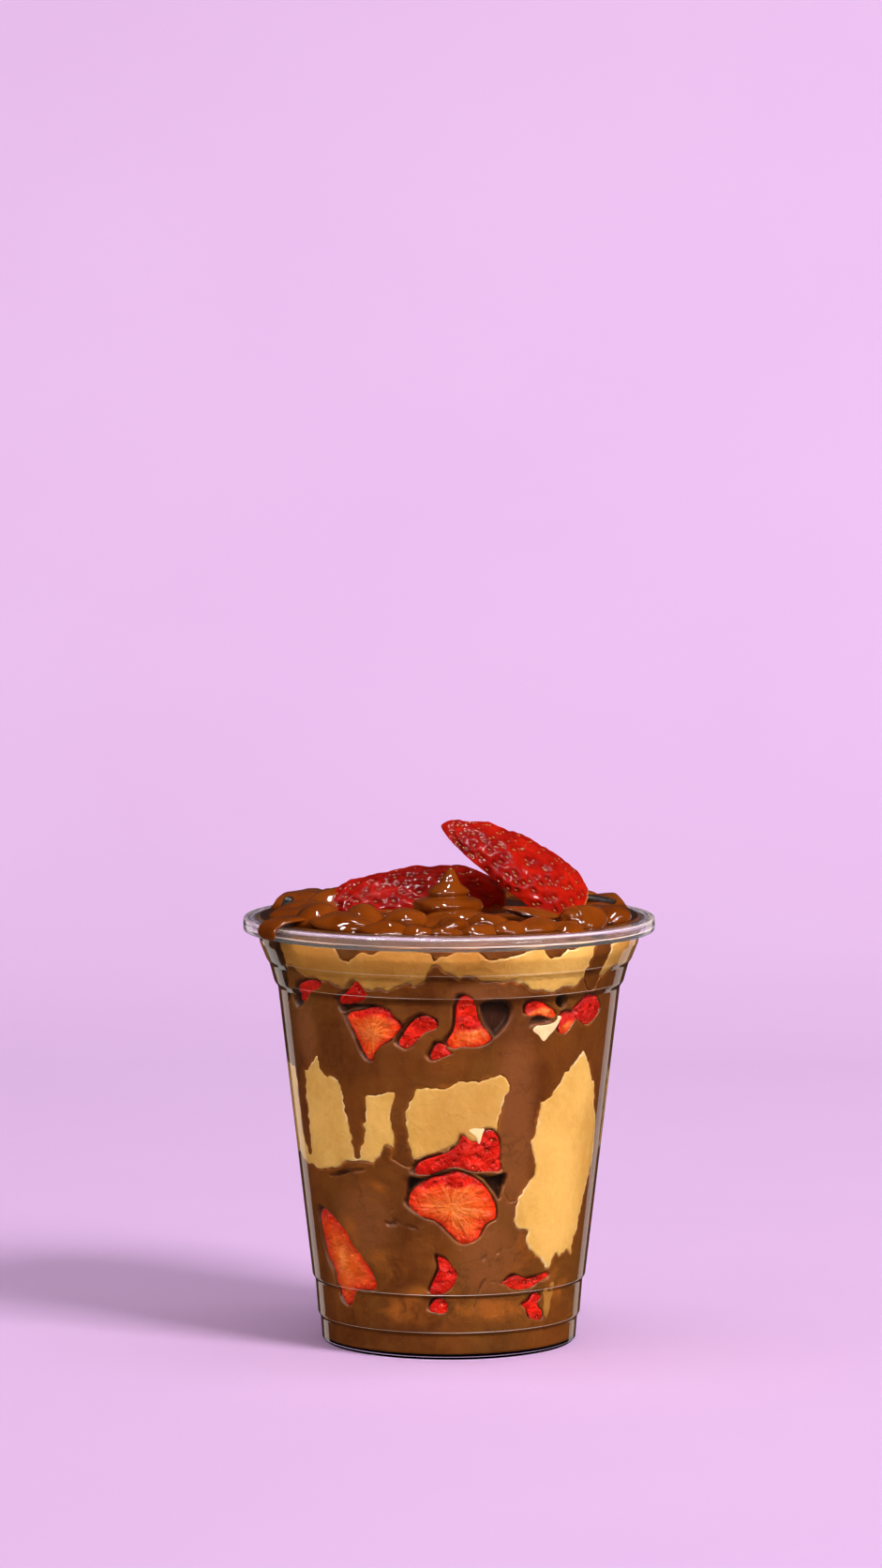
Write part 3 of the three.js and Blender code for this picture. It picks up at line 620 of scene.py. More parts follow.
def plastic_material(name, clear, tint=(0.985, 0.985, 0.99, 1)):
    """Clear plastic of a tint that lets light through to the food in straight lines. clear is less than 1
    where it is milky."""
    made, tree, shader = material_of(name)
    fill(tree, shader, {
        "Base Color": tint, "IOR": 1.46, "Transmission Weight": clear,
        "Roughness": between(tree, clouds(tree, Size=20), 0, 1, 0.0, 0.03),
        "Normal": bump(tree, clouds(tree, Size=26, Tall=3), 0.02),
    })
    through = node(tree, "BsdfTransparent", {"Color": (0.96, 0.955, 0.965, 1)})
    shadow = node(tree, "LightPath").outputs["Is Shadow Ray"]
    mix = node(tree, "MixShader", {0: shadow, 1: shader.outputs[0], 2: through.outputs[0]})
    tree.links.new(mix.outputs[0], tree.nodes["Material Output"].inputs["Surface"])
    return made


def sauce_material(name, pressed):
    """Sauce pressed to the plastic, thin and patchy at its edges, or open and glossy on top."""
    made, tree, shader = material_of(name)
    patchy = clouds(tree, Size=6, Low=0.4, High=0.6)
    edge = times(tree, between(tree, attribute(tree, "cover"), 0.0, 0.9, 1.0, 0.0), patchy)
    thin = maths(tree, "MAXIMUM", edge, times(tree, attribute(tree, "thin"), patchy)) if pressed else 0.0
    # The deep mark is painted shade.
    look = use(
        tree, SAUCE_LOOK, Thin=thin, Deep=attribute(tree, "deep"), Veil=attribute(tree, "veil"),
        Open=0.0 if pressed else 1.0,
    )
    dullest = (0.34, 0.46) if pressed else (0.05, 0.1)
    fill(tree, shader, {
        "Base Color": look["Colour"],
        "Normal": bump(tree, look["Height"], 0.25 if pressed else 0.004),
        "Roughness": between(tree, look["Small"], 0, 1, *dullest),
        "Specular IOR Level": 0.2 if pressed else 0.25,
        "Coat Weight": 0.0 if pressed else 0.35, "Coat Roughness": 0.04,
    })
    return made


def cream_material():
    """Tan cream: soft light and dark clouds, fine specks, a paler thin edge, and brown where marked: painted
    shade near the rim and under the ledges, a plain darker brown in other places.
    """
    made, tree, shader = material_of("cream")
    fine = clouds(tree, Size=1.6, Low=0.4, High=0.75)
    # Brown where marked: painted shade under the rim and the ledges, a plain darker brown elsewhere.
    stain_and_shade = times(tree, attribute(tree, "stain_and_shade"), clouds(tree, Size=30, Low=0.1, High=0.45))
    edge = between(tree, attribute(tree, "cover"), 0.05, 0.6, 1.0, 0.0)
    rim = times(tree, edge, clouds(tree, Size=5, Low=0.45, High=0.6))
    rim = times(tree, rim, maths(tree, "SUBTRACT", 1.0, attribute(tree, "stain_and_shade")))
    tan = blend(tree, clouds(tree, Size=15, Tall=1.5), (0.62, 0.33, 0.07, 1), (0.76, 0.44, 0.12, 1))
    colour = tinted(tree, tan, [
        (fine, 0.2, (0.9, 0.6, 0.24, 1)),
        # The brown mark: painted shade under the rim and the ledges, elsewhere a plain darker brown.
        (stain_and_shade, 1, (0.4, 0.165, 0.028, 1)),
        (dots(tree, Spacing=2.9, Radius=0.15), 0.5, (0.33, 0.13, 0.03, 1)),
        (rim, 1, (0.92, 0.68, 0.36, 1)),
        (attribute(tree, "pale"), 1, (0.93, 0.78, 0.56, 1)),
    ])
    fill(tree, shader, {
        "Base Color": colour, "Roughness": between(tree, fine, 0, 1, 0.4, 0.5), "Specular IOR Level": 0.15,
        "Subsurface Weight": 0.1, "Subsurface Scale": 0.0015,
        "Normal": bump(tree, clouds(tree, Size=4, Low=0.2, High=0.8), 0.3),
    })
    return made


def berry_material():
    """Strawberry at the wall: skin with seeds in dimples, or cut flesh with pale rays."""
    made, tree, shader = material_of("strawberry")
    seeds = dots(tree, Spacing=2.1, Radius=0.26)
    dimples = dots(tree, Spacing=2.1, Radius=0.8)
    # The dimples get painted shade.
    skin = use(tree, SKIN_LOOK, Dimple=times(tree, dimples, 0.4), Seed=seeds)["Colour"]
    core = attribute(tree, "core")
    cut = attribute(tree, "cut")
    turn, out = times(tree, attribute(tree, "ray"), 19.0), times(tree, core, 0.9)
    at = node(tree, "CombineXYZ", {0: turn, 1: out}).outputs[0]
    rays = node(tree, "TexNoise", {"Vector": at, "Scale": 1.0, "Detail": 3.0}).outputs["Fac"]
    white = times(tree, between(tree, rays, 0.4, 0.62), between(tree, core, 0.1, 0.9, 0.7, 0.0))
    orange = blend(tree, between(tree, core, 0.1, 0.85), (0.72, 0.105, 0.006, 1), (0.6, 0.024, 0.002, 1))
    flesh = tinted(tree, orange, [
        (white, 1, (0.9, 0.31, 0.07, 1)), (between(tree, core, 0.84, 1.0), 1, (0.62, 0.02, 0.004, 1)),
    ])
    colour = tinted(tree, skin, [(cut, 1, flesh), (attribute(tree, "shade"), 1, (0.07, 0.003, 0.0015, 1))])
    relief = blend(tree, cut, maths(tree, "SUBTRACT", seeds, dimples), rays)
    height = maths(tree, "ADD", relief, clouds(tree, Size=2.2, Low=0.3, High=0.7))
    fill(tree, shader, {
        "Base Color": colour, "Specular IOR Level": 0.5, "Subsurface Weight": 0.08,
        "Subsurface Scale": 0.0015, "Roughness": between(tree, clouds(tree, Size=3), 0, 1, 0.07, 0.16),
        "Coat Weight": 0.5, "Coat Roughness": 0.06, "Normal": bump(tree, height, 0.55),
    })
    return made


def half_material():
    """The large halves: wet red skin with painted shade in the dimples, pale seeds, and orange flesh on
    the cut faces.
    """
    made, tree, shader = material_of("strawberry_half")
    # Painted shade in the dimples of the skin.
    skin = use(tree, SKIN_LOOK, Dimple=attribute(tree, "dimple"), Seed=attribute(tree, "seed"))["Colour"]
    flesh = blend(tree, clouds(tree, Size=4), (0.72, 0.18, 0.03, 1), (0.85, 0.36, 0.1, 1))
    fill(tree, shader, {
        "Base Color": blend(tree, attribute(tree, "cut"), skin, flesh),
        "Roughness": between(tree, clouds(tree, Size=5), 0, 1, 0.2, 0.35),
        "Subsurface Weight": 0.05, "Subsurface Scale": 0.0012, "Coat Weight": 0.32,
        "Coat Roughness": 0.015, "Specular IOR Level": 0.02,
        "Normal": bump(tree, clouds(tree, Size=1.8, Low=0.3, High=0.7), 0.02),
    })
    return made


def dark_material():
    """Dark chocolate: near black with a brown bloom and a fine grain."""
    made, tree, shader = material_of("dark_chocolate")
    bloom = clouds(tree, Size=2)
    fill(tree, shader, {
        "Base Color": blend(tree, bloom, (0.012, 0.007, 0.006, 1), (0.05, 0.028, 0.022, 1)),
        "Roughness": between(tree, bloom, 0, 1, 0.28, 0.42),
        "Normal": bump(tree, clouds(tree, Size=0.9), 0.1),
    })
    return made


PLASTIC = plastic_material("clear_plastic", 1.0)
RIM_PLASTIC = plastic_material("rim_plastic", 0.97)
# Milky, pinkish plastic for the rings that are painted highlights.
HIGHLIGHT_PLASTIC = plastic_material("highlight_plastic", 0.5, (0.98, 0.86, 0.8, 1))
PRESSED_SAUCE = sauce_material("sauce_at_the_wall", True)
OPEN_SAUCE = sauce_material("sauce_on_top", False)
CREAM_LOOK = cream_material()
BERRY = berry_material()
HALF = half_material()
DARK = dark_material()
BEHIND_WALL = (PRESSED_SAUCE, CREAM_LOOK, BERRY)


# The cup. Its foot, its rim and the middle of its floor: radius and height.

FOOT = [(14, 0.8), (26, 0.8), (27.6, 0.5), (28.2, 0.0), (29.5, 0.0), (29.8, 0.2)]
RIM = [
    (45.5, 99.5), (45.55, 100.5), (46.0, 101.15), (47.6, 101.25), (48.35, 100.8), (48.45, 99.3), (47.8, 98.9),
    (47.3, 98.4), (48.6, 98.4), (48.95, 98.8), (49.0, 100.9), (48.7, 101.6), (47.9, 101.8), (46.0, 101.72),
    (45.2, 101.55), (44.95, 100.9), (44.95, 99.5),
]
FLOOR = [(29.7, 1.4), (29.0, 1.35), (14, 1.35)]
# Runs of heights on the wall, closer together at its ledges: from, to and step.
RISES = [
    (0.35, 1.8, 0.12), (2, 5.2, 0.5), (5.4, 7.4, 0.12), (7.6, 14.6, 0.7), (14.7, 16.4, 0.12), (17, 84.6, 3),
    (84.8, 99.3, 0.15),
]
LEDGES = [92.3, 86.8, 15.8, 6.7]
# Milky rings on the rim and the ledges, painted highlights for the light along the plastic's edges: radius,
# height and half thickness.
HIGHLIGHT_RINGS = [(48.9, 101.35, 0.2), (49.0, 99.6, 0.18)]
HIGHLIGHT_RINGS += [(float(wall(z)) - 0.02, z, 0.065) for z in LEDGES]


def cup():
    """A profile turned round the axis: foot, wall with its ledges, rim that rolls out and down, and inside."""
    rises = np.concatenate([np.arange(*run) for run in RISES])
    outer = [(float(wall(z)), float(z)) for z in rises]
    inner = [(float(wall(z)) - WALL, float(z)) for z in rises[::-1] if z > 1.5]
    foot = rounded(FOOT, closed=False)
    rim = rounded(RIM, closed=False)
    line = np.array([*foot, *outer, *rim, *inner, *FLOOR])
    angles = np.linspace(0, 360, 216, endpoint=False)
    rings = around(angles[None, :], line[:, :1], line[:, 1:])
    start = len(foot) + len(outer)
    shell(
        "cup_wall", rings, PLASTIC, ["cup"], other=(RIM_PLASTIC, start, start + len(rim)),
    )


def highlight_ring(name, radius, z, half):
    """A thin milky ring round the cup, a painted highlight, thicker in some places: a circle swept round the
    axis.
    """
    columns, sides = 360, 8
    turn = np.linspace(0, 360, columns, endpoint=False)[:, None]
    lean = np.linspace(0, 2 * math.pi, sides, endpoint=False)[None, :]
    thick = half * (0.75 + 0.5 * np.sin(np.radians(3 * turn + 7 * z)) * np.cos(np.radians(2 * turn)))
    points = around(turn + 0 * lean, radius + thick * np.cos(lean) - half, z + thick * np.sin(lean))
    i, j = np.mgrid[0:columns, 0:sides]
    k, m = (i + 1) % columns, (j + 1) % sides
    faces = np.stack([i * sides + j, k * sides + j, k * sides + m, i * sides + m], -1).reshape(-1, 4)
    mesh = bpy.data.meshes.new(name)
    mesh.from_pydata((points.reshape(-1, 3) * MM).tolist(), [], faces.tolist())
    mesh.polygons.foreach_set("use_smooth", np.ones(len(faces), bool))
    mesh.materials.append(HIGHLIGHT_PLASTIC)
    place(name, mesh)


# The layers of the filling.

ANGLES = np.concatenate([np.arange(-90, 90, 0.45), np.arange(90, 270, 1.25)])
# Heights between which each layer runs through the cup, and between which its outside runs up the wall.
CORES = {
    BASE: (1.45, 46.6), CREAM: (47.0, 66.4), MIDDLE: (66.8, 89.2), UPPER: (89.6, 98.0),
    TOP: (98.4, TOPPING_EDGE),
}
SPANS = {BASE: (1.45, 58.5), CREAM: (19.5, 75), MIDDLE: (34.5, 97), UPPER: (85, 100), TOP: (81, TOPPING_EDGE)}
CORE_RADIUS = 14
# How far inside the wall a layer's inner side is, and how far it stands back where another covers the wall.
THICKNESS = 4.4
SET_BACK = 2.0
# The cover of points that aren't at the wall.
COVERED = 6.0
# Paler, greyer places in the sauce: angle, height, half angle and half height. The tall one right of the front
# is a painted reflection.
VEILS = [(24, 56, 9, 24), (17, 24, 14, 10), (-36, 33, 14, 9), (12, 88, 14, 2.5), (-58, 76, 7, 8)]


def edge_height(angle, swing, edge):
    """Height of a layer's edge at the wall: along the given points over the front, waving round the back."""
    turns = np.array([p[0] for p in edge])
    heights = np.array([p[1] for p in edge])
    angle = (angle + 180) % 360 - 180
    share = ((angle - turns[-1]) % 360) / (360 - turns[-1] + turns[0])
    wave = swing * np.sin(math.pi * share) * np.sin(11 * math.pi * share)
    behind = heights[-1] + (heights[0] - heights[-1]) * share + wave
    front = np.interp(angle, turns, heights)
    return np.where((angle < turns[0]) | (angle > turns[-1]), behind, front)


def inside(angle, z, outline, reach=6.0):
    """Distance in millimetres along the wall to an outline of (angle, height) points, positive inside it: the
    least of the distances to its sides."""
    middle = outline[:, 0].mean()
    x = np.radians((angle - middle + 180) % 360 - 180) * wall(z)
    corners = np.stack([np.radians(outline[:, 0] - middle) * wall(outline[:, 1]), outline[:, 1]], -1)
    low, high = corners.min(0) - reach, corners.max(0) + reach
    near = (x > low[0]) & (x < high[0]) & (z > low[1]) & (z < high[1])
    px, py = x[near], z[near]
    best = np.full(px.shape, reach ** 2)
    within = np.zeros(px.shape, bool)
    for (ax, ay), (bx, by) in zip(corners, np.roll(corners, -1, axis=0)):
        dx, dy = bx - ax, by - ay
        share = np.clip(((px - ax) * dx + (py - ay) * dy) / max(dx * dx + dy * dy, 1e-9), 0, 1)
        best = np.minimum(best, (px - ax - share * dx) ** 2 + (py - ay - share * dy) ** 2)
        crosses = (ay > py) != (by > py)
        within ^= crosses & (px < ax + (py - ay) * dx / (dy if dy else 1e-9))
    found = np.full(x.shape, -reach)
    found[near] = np.where(within, 1, -1) * np.sqrt(best)
    return found


def covers(angle, z):
    """For each layer, how far in millimetres each place is inside the part of the wall that it covers, with
    noise in the place so that no edge is straight."""
    points = around(angle, wall(z), z)
    z = z + 0.4 * noise(points, 7, 1) + 0.25 * noise(points, 2.3, 2)
    angle = angle + np.degrees((0.4 * noise(points, 7, 3) + 0.22 * noise(points, 2.2, 4)) / wall(z))
    e = [edge_height(angle, *edge) for edge in EDGES]
    found = {
        BASE: e[0] - z,
        CREAM: np.minimum(z - e[0], e[1] - z),
        MIDDLE: np.minimum(z - e[1], e[2] - z),
        UPPER: np.minimum(z - e[2], e[3] - z),
        TOP: z - e[3],
    }
    for cover, outline in PATCHES:
        d = inside(angle, z, rounded(outline))
        for name in found:
            found[name] = np.maximum(found[name], d) if name == cover else np.minimum(found[name], -d)
    return found


def pockets(angle, z):
    """Depth of the room round the strawberry pieces, whose edges the sauce half covers, and of the hollows."""
    points = around(angle, wall(z), z)
    gap = 0.3 * noise(points, 5, 5) - 0.5
    depth = np.zeros(z.shape)
    for *_, outline in PIECES.values():
        d = inside(angle, z, rounded(outline), 3.0)
        depth = np.maximum(depth, 3.4 * smooth((d + gap + 0.25) / 0.5))
    deep = np.zeros(z.shape)
    for step, outline in HOLLOWS:
        d = inside(angle, z, rounded(outline), 3.0)
        deep = np.maximum(deep, step * smooth((d + 0.6 * gap + 0.4) / 0.9))
    return np.maximum(depth, deep), deep


def marks_of(name, angle, z, cover, deep, depth):
    """What a layer's materials read at each point: how far inside its cover it is, painted shade in its
    hollows, under the ledges and where it stands back, how thin it is, its brown (painted shade under the rim
    and the ledges, a plain darker brown elsewhere) and its veil. A spot fades with the distance from its
    middle over its half sizes."""
    def spot(at_angle, at_z, wide, tall):
        return np.hypot((angle - at_angle) / wide, (z - at_z) / tall)

    none = np.zeros(z.shape)
    thin, veil = none, none
    if name == BASE:
        for at_angle, at_z, wide, tall in THIN_SPOTS:
            x = np.radians(angle - at_angle) * wall(z)
            thin = np.maximum(thin, smooth(1.4 - np.hypot(x / wide, (z - at_z) / tall)))
    for veil_spot in VEILS:
        veil = np.maximum(veil, smooth((1.3 - spot(*veil_spot)) / 0.8))
    # A darker brown round the middle of the front, at mid height.
    stain_and_shade = 0.45 * smooth(1.5 - spot(6, 58, 16, 12))
    # Under the rim the cream gets painted shade in brown, lighter on the lit side right of the front.
    if name == UPPER:
        stain_and_shade = 0.97 - 0.85 * smooth((angle - 8) / 22) * smooth((70 - angle) / 20)
    # Painted shade in the hollows and where the layer stands back from the wall.
    painted_shade = np.clip(np.maximum(deep / 3 * 1.6, 0.5 * smooth((depth - 0.4) / 1.5)), 0, 0.93)
    # Painted shade in a thin line under each ledge, in the sauce and in the cream.
    for height in LEDGES:
        line = np.exp(-((z - height + 0.55) / 0.3) ** 2)
        painted_shade = np.maximum(painted_shade, 0.55 * line)
        stain_and_shade = np.maximum(stain_and_shade, 0.6 * line)
    return {"cover": cover, "deep": painted_shade, "thin": thin, "stain_and_shade": stain_and_shade, "veil": veil}


def layer(name, step=0.36):
    """One layer of the filling: its outside, its marks, and the rings below and above that close it.

    The outside is the inside of the wall, less a depth: none where the layer covers the wall, and rising
    quickly to SET_BACK outside its cover, and to the depth of a pocket where a piece or a hollow is."""
    low, high = SPANS[name]
    core_low, core_high = CORES[name]
    z = np.linspace(low, high, int((high - low) / step))[:, None] + 0 * ANGLES[None, :]
    angle = ANGLES[None, :] + 0 * z
    cover = covers(angle, z)[name]
    away = np.maximum(0, -cover)
    back = SET_BACK * (1 - np.exp(-away / 0.3)) + 0.06 * np.exp(-np.abs(cover) / 0.2)
    room, deep = pockets(angle, z)
    depth = np.maximum(back, room + 0.9 * (1 - np.exp(-away / 0.5)))
    radius = wall(z) - WALL + REACH - depth
    inner = np.minimum(wall(z) - THICKNESS, radius - 0.5)

    def ring(radius, z):
        return around(ANGLES, radius, z)[None]

    below = [ring(CORE_RADIUS, core_low), ring(inner[0], core_low)]
    if low < core_low:
        below.append(ring(inner[0], low))
    above = []
    if name != TOP:
        above = [ring(inner[-1], high)] if high > core_high else []
        above += [ring(inner[-1], core_high), ring(CORE_RADIUS, core_high)]
    return around(angle, radius, z), marks_of(name, angle, z, cover, deep, depth), below, above


def spread(marks, before, after):
    """Carries the marks on the outside on to the rings before and after it."""
    made = {}
    for key, value in marks.items():
        plain = value[:1] * 0 + (COVERED if key == "cover" else 0.0)
        made[key] = np.concatenate([np.repeat(plain, before, 0), value, np.repeat(plain, after, 0)])
    return made


def put_layer(name, material):
    """A layer through the cup, closed by rings to its core below and above."""
    outside, marks, below, above = layer(name)
    rings = np.concatenate([*below, outside, *above])
    shell(name + "_fill", rings, material, [name], spread(marks, len(below), len(above)))


# The topping.

# Folds of sauce: middle, half widths and turn in plan, and height of the top.
FOLDS = [
    (-35, -4, 8, 9, 0, 102.8), (-26, 8, 10, 8, 10, 106.4), (-27, -20, 10, 8, -35, 102.8),
    (-20, -31, 9, 8, -30, 102.0), (-10, -25, 9, 9, -10, 102.8), (1.9, -30, 11, 9.5, 0, 102.4),
    (13, -31, 9, 8, 0, 102.2), (24, -28, 9, 8, 0, 102.2), (34, -20, 8, 8, 0, 102.3),
    (27, -12, 9, 8, 0, 103.6), (36, 2, 7, 8, 0, 103.6), (36, 14, 9, 9, 0, 105.0),
    (22, 27, 12, 10, 20, 105.8), (2, 33, 12.5, 10, 0, 106.2), (-18, 28, 12, 10, -15, 105.8),
    (-34, 18, 10, 10, 0, 105.6), (14, 6, 15, 15, 0, 104.4), (-12, 6, 14, 14, 0, 104.4),
    (-8, -12, 9, 8, 0, 103.6), (9, 20, 8, 6, 40, 106.3), (-30, 33, 7, 6, -40, 104.8),
    (33, 27, 7, 6, 40, 104.8), (10, 40, 8, 5, 10, 104.6), (-9, 41, 8, 5, -10, 104.5),
    (12, -14, 8, 7, 0, 103.6),
]
# Half section of the piped peak: radius and height. Its axis is this far in front of the middle.
PEAK = [
    (6.4, 102.0), (8.3, 103.2), (7.7, 104.3), (8.5, 105.2), (8.7, 106.3), (7.9, 107.3), (5.8, 107.8),
    (4.2, 108.1), (4.9, 108.9), (4.5, 109.7), (3.3, 110.4), (2.3, 111.5), (1.75, 112.7), (1.15, 113.8),
    (0.55, 114.6), (0.12, 114.85),
]
PEAK_FORWARD = 16
# Lumps on the topping: middle, half sizes, turn, tilt and ripple.
LUMPS = [
    ((-35, -2, 101.3), (8, 8, 4.2), 0, -6, 0), ((-25, 6, 103.4), (8.5, 7, 4.2), 0, -8, 0),
    ((-30, -20, 102.1), (7, 7, 4.2), 20, 3, 0), ((-24.3, -29.5, 102.3), (9.8, 6, 3.1), -38, 3, 0),
    ((-20, -23, 102.9), (5, 5.5, 3.4), 0, 4, 0), ((-10.8, -27, 102.7), (5.8, 5.5, 3.6), 0, -3, 0),
    ((-15, -37.3, 101.7), (6.8, 4.6, 2.9), -20, 2, 0), ((-7.4, -39.4, 101.5), (4.4, 3.6, 2.4), -10, 3, 0),
    ((1.9, -24, 102.0), (10.5, 7.5, 3.6), 0, 0, 0), ((0.8, -33, 102.0), (4.5, 6, 2.9), -14, 0, 0),
    ((8.4, -29.5, 102.2), (5.6, 5.5, 3.2), 0, 6, 0), ((7.1, -39.2, 101.5), (4.8, 3.8, 2.4), 10, -2, 0),
    ((-0.6, -40.2, 101.5), (4.2, 3.2, 2.0), 0, 2, 0), ((14.4, -37.2, 101.7), (5.0, 4.3, 2.8), 20, 2, 0),
    ((19.5, -24, 104.9), (7.2, 5.2, 1.3), 10, 9, 0), ((20.2, -33.2, 101.9), (7.2, 4.8, 2.8), 28, 2, 0),
    ((31.3, -24.6, 102.4), (6.6, 6.6, 4.2), -50, 0, 0.03), ((38.6, -10, 101.8), (4.8, 8, 3.3), 6, 2, 0),
    ((27.5, -32.4, 101.5), (4.0, 3.4, 2.3), 38, 2, 0),
]
# The tongue of sauce that ran over the rim: its angle, and the middle of its section, radius and height.
SPILL_ANGLE = -58
SPILL = [(41, 103.4), (44.5, 103.5), (47.2, 103.1), (49.4, 102.1), (50.25, 100.6), (50.2, 99.1)]


def topping_height(x, y):
    """Folds of sauce that meet in creases: the eighth-power sum of their heights, with ridges on them. Also,
    as a share, how deep in a crease or a gap each point is, which is darkened with painted shade."""
    points = np.stack([x, y, 0 * x], -1)
    ridges = (1 - np.abs(noise(points, 18, 23))) ** 4
    fine = noise(points, 3.2, 24)
    x = x + 1.2 * noise(points, 14, 21)
    y = y + 1.2 * noise(points, 14, 22)
    total = np.zeros(x.shape)
    highest = np.zeros(x.shape)
    for cx, cy, half_x, half_y, turn, top in FOLDS:
        c, s = math.cos(math.radians(turn)), math.sin(math.radians(turn))
        u, v = ((x - cx) * c + (y - cy) * s) / half_x, ((y - cy) * c - (x - cx) * s) / half_y
        one = ((top - TOPPING_EDGE) * np.sqrt(np.maximum(0, 1 - u * u - v * v))) ** 8
        total += one
        highest = np.maximum(highest, one)
    height = total ** (1 / 8)
    share = smooth(height / 1.5)
    crease = smooth((0.92 - highest / np.maximum(total, 1e-9)) / 0.4)
    crease = np.maximum(crease, smooth((1.6 - height) / 1.2))
    return TOPPING_EDGE + height + share * (0.3 * ridges + 0.02 * fine), crease


def topping():
    """The sauce above the rim: the outside of its layer, then rings inwards at the height of its folds, which
    falls to the edge over its last few millimetres."""
    outside, marks, below, _ = layer(TOP, 0.42)
    edge = MOUTH_RADIUS - WALL + REACH
    radii = np.concatenate([np.linspace(edge - 0.12, 6, 122), np.linspace(5.6, 0.8, 9)])
    flat = around(ANGLES[None, :], radii[:, None], 0.0)
    height, crease = topping_height(flat[..., 0], flat[..., 1])
    fall = smooth((edge - radii[:, None]) / 1.8)
    flat[..., 2] = TOPPING_EDGE + (height - TOPPING_EDGE) * fall + 0.05
    rings = np.concatenate([*below, outside, flat])
    marks = spread(marks, len(below), len(radii))
    # Painted shade in the creases and low gaps between the folds.
    marks["deep"][-len(radii):] = 0.85 * crease
    side = len(below) + len(outside) - 1
    shell("sauce_top", rings, PRESSED_SAUCE, [TOP], marks, (OPEN_SAUCE, side, len(rings)))


def plain_marks(rings):
    """Marks of a thick piece of sauce with no thin places and no painted shade."""
    zero = np.zeros(rings.shape[:2])
    return {"cover": zero + COVERED, "deep": zero, "thin": zero, "veil": zero}


def peak():
    """Piped peak: two tiers and a drawn-out tip, turned round its axis, with a shallow spiral round it."""
    line = rounded(PEAK, 3, closed=False)
    angles = np.linspace(0, 360, 144, endpoint=False)[None, :]
    radius, z = line[:, :1], line[:, 1:]
    twist, cross = np.radians(2 * angles) + z * 0.9, np.radians(3 * angles) - z * 1.7
    swirl = 1 + 0.035 * np.sin(twist) + 0.02 * np.sin(cross)
    rings = around(angles, radius * swirl, z + 0.25 * np.sin(np.radians(angles + 40)) * smooth((109 - z) / 4))
    rings[..., 0] += 0.15 - 0.55 * smooth((112 - z) / 5) + 0.25 * smooth((z - 112) / 3)
    rings[..., 1] -= PEAK_FORWARD
    shell("sauce_peak", rings, OPEN_SAUCE, [TOP], plain_marks(rings))


def globe(rows, columns):
    """Angles over a ball: down from its top as a column, and round it as a row."""
    down = np.linspace(0.03, math.pi - 0.03, rows)[:, None]
    return down, np.linspace(0, 2 * math.pi, columns, endpoint=False)[None, :]


def turned(points, tilt, turn, at):
    """Points tilted about the Y axis, turned about the Z axis, both in degrees, and moved."""
    a, b = math.radians(tilt), math.radians(turn)
    x, y, z = points[..., 0], points[..., 1], points[..., 2]
    x, z = x * math.cos(a) + z * math.sin(a), z * math.cos(a) - x * math.sin(a)
    x, y = x * math.cos(b) - y * math.sin(b), x * math.sin(b) + y * math.cos(b)
    return np.stack([x, y, z], -1) + np.array(at)


def lump(name, at, half, turn, tilt, seed, ripple):
    """A lump of sauce: an ellipsoid made uneven, tilted down to the right and turned. ripple is how far rings
    round a place on its front stand out."""
    down, along = globe(60, 120)
    way = np.stack([np.sin(down) * np.cos(along), np.sin(down) * np.sin(along), np.cos(down) + 0 * along], -1)
    swell = 1 + 0.1 * noise(way * 6, 9, seed) + 0.008 * noise(way * 6, 4, seed + 1)
    far = np.linalg.norm(way - np.array([0.1, -0.95, 0.3]), axis=-1)
    swell += ripple * np.cos(2 * math.pi * far / 0.36) * smooth((1.3 - far) / 0.6)
    points = way * np.array(half) * swell[..., None]
    rings = turned(points, tilt, turn, at)
    marks = plain_marks(rings)
    # Painted shade on the lower part of the lump.
    marks["deep"] = 0.8 * smooth((0.2 - points[..., 2] / half[2]) / 0.55)
    shell(name, rings, OPEN_SAUCE, (), marks)


def spill():
    """A tongue of sauce over the rim: its section runs out over the flange and down past the lip."""
    path = rounded(SPILL, 3, closed=False)
    share = np.linspace(0, 1, len(path))[:, None]
    half_width = 4.0 * (1 - 0.25 * smooth((share - 0.75) / 0.25))
    step = np.gradient(path, axis=0)
    out = np.stack([-step[:, 1], step[:, 0]], -1) / np.linalg.norm(step, axis=1)[:, None]
    turn = np.linspace(0, 2 * math.pi, 48, endpoint=False)[None, :]
    thick = 0.72 * (1 - 0.35 * smooth((share - 0.8) / 0.2))
    side = half_width * np.sign(np.cos(turn)) * np.abs(np.cos(turn)) ** 0.7 + 0.35 * np.sin(7 * share)
    rise = thick * np.sin(turn)
    r = path[:, :1] - out[:, :1] * rise
    z = path[:, 1:] - out[:, 1:] * rise
    a = math.radians(SPILL_ANGLE)
    rings = np.stack([
        r * math.sin(a) + side * math.cos(a), -r * math.cos(a) + side * math.sin(a), z,
    ], -1)
    shell("sauce_spill", rings, OPEN_SAUCE, [TOP], plain_marks(rings))


# Pieces pressed to the wall.

NEAR_WALL = 38


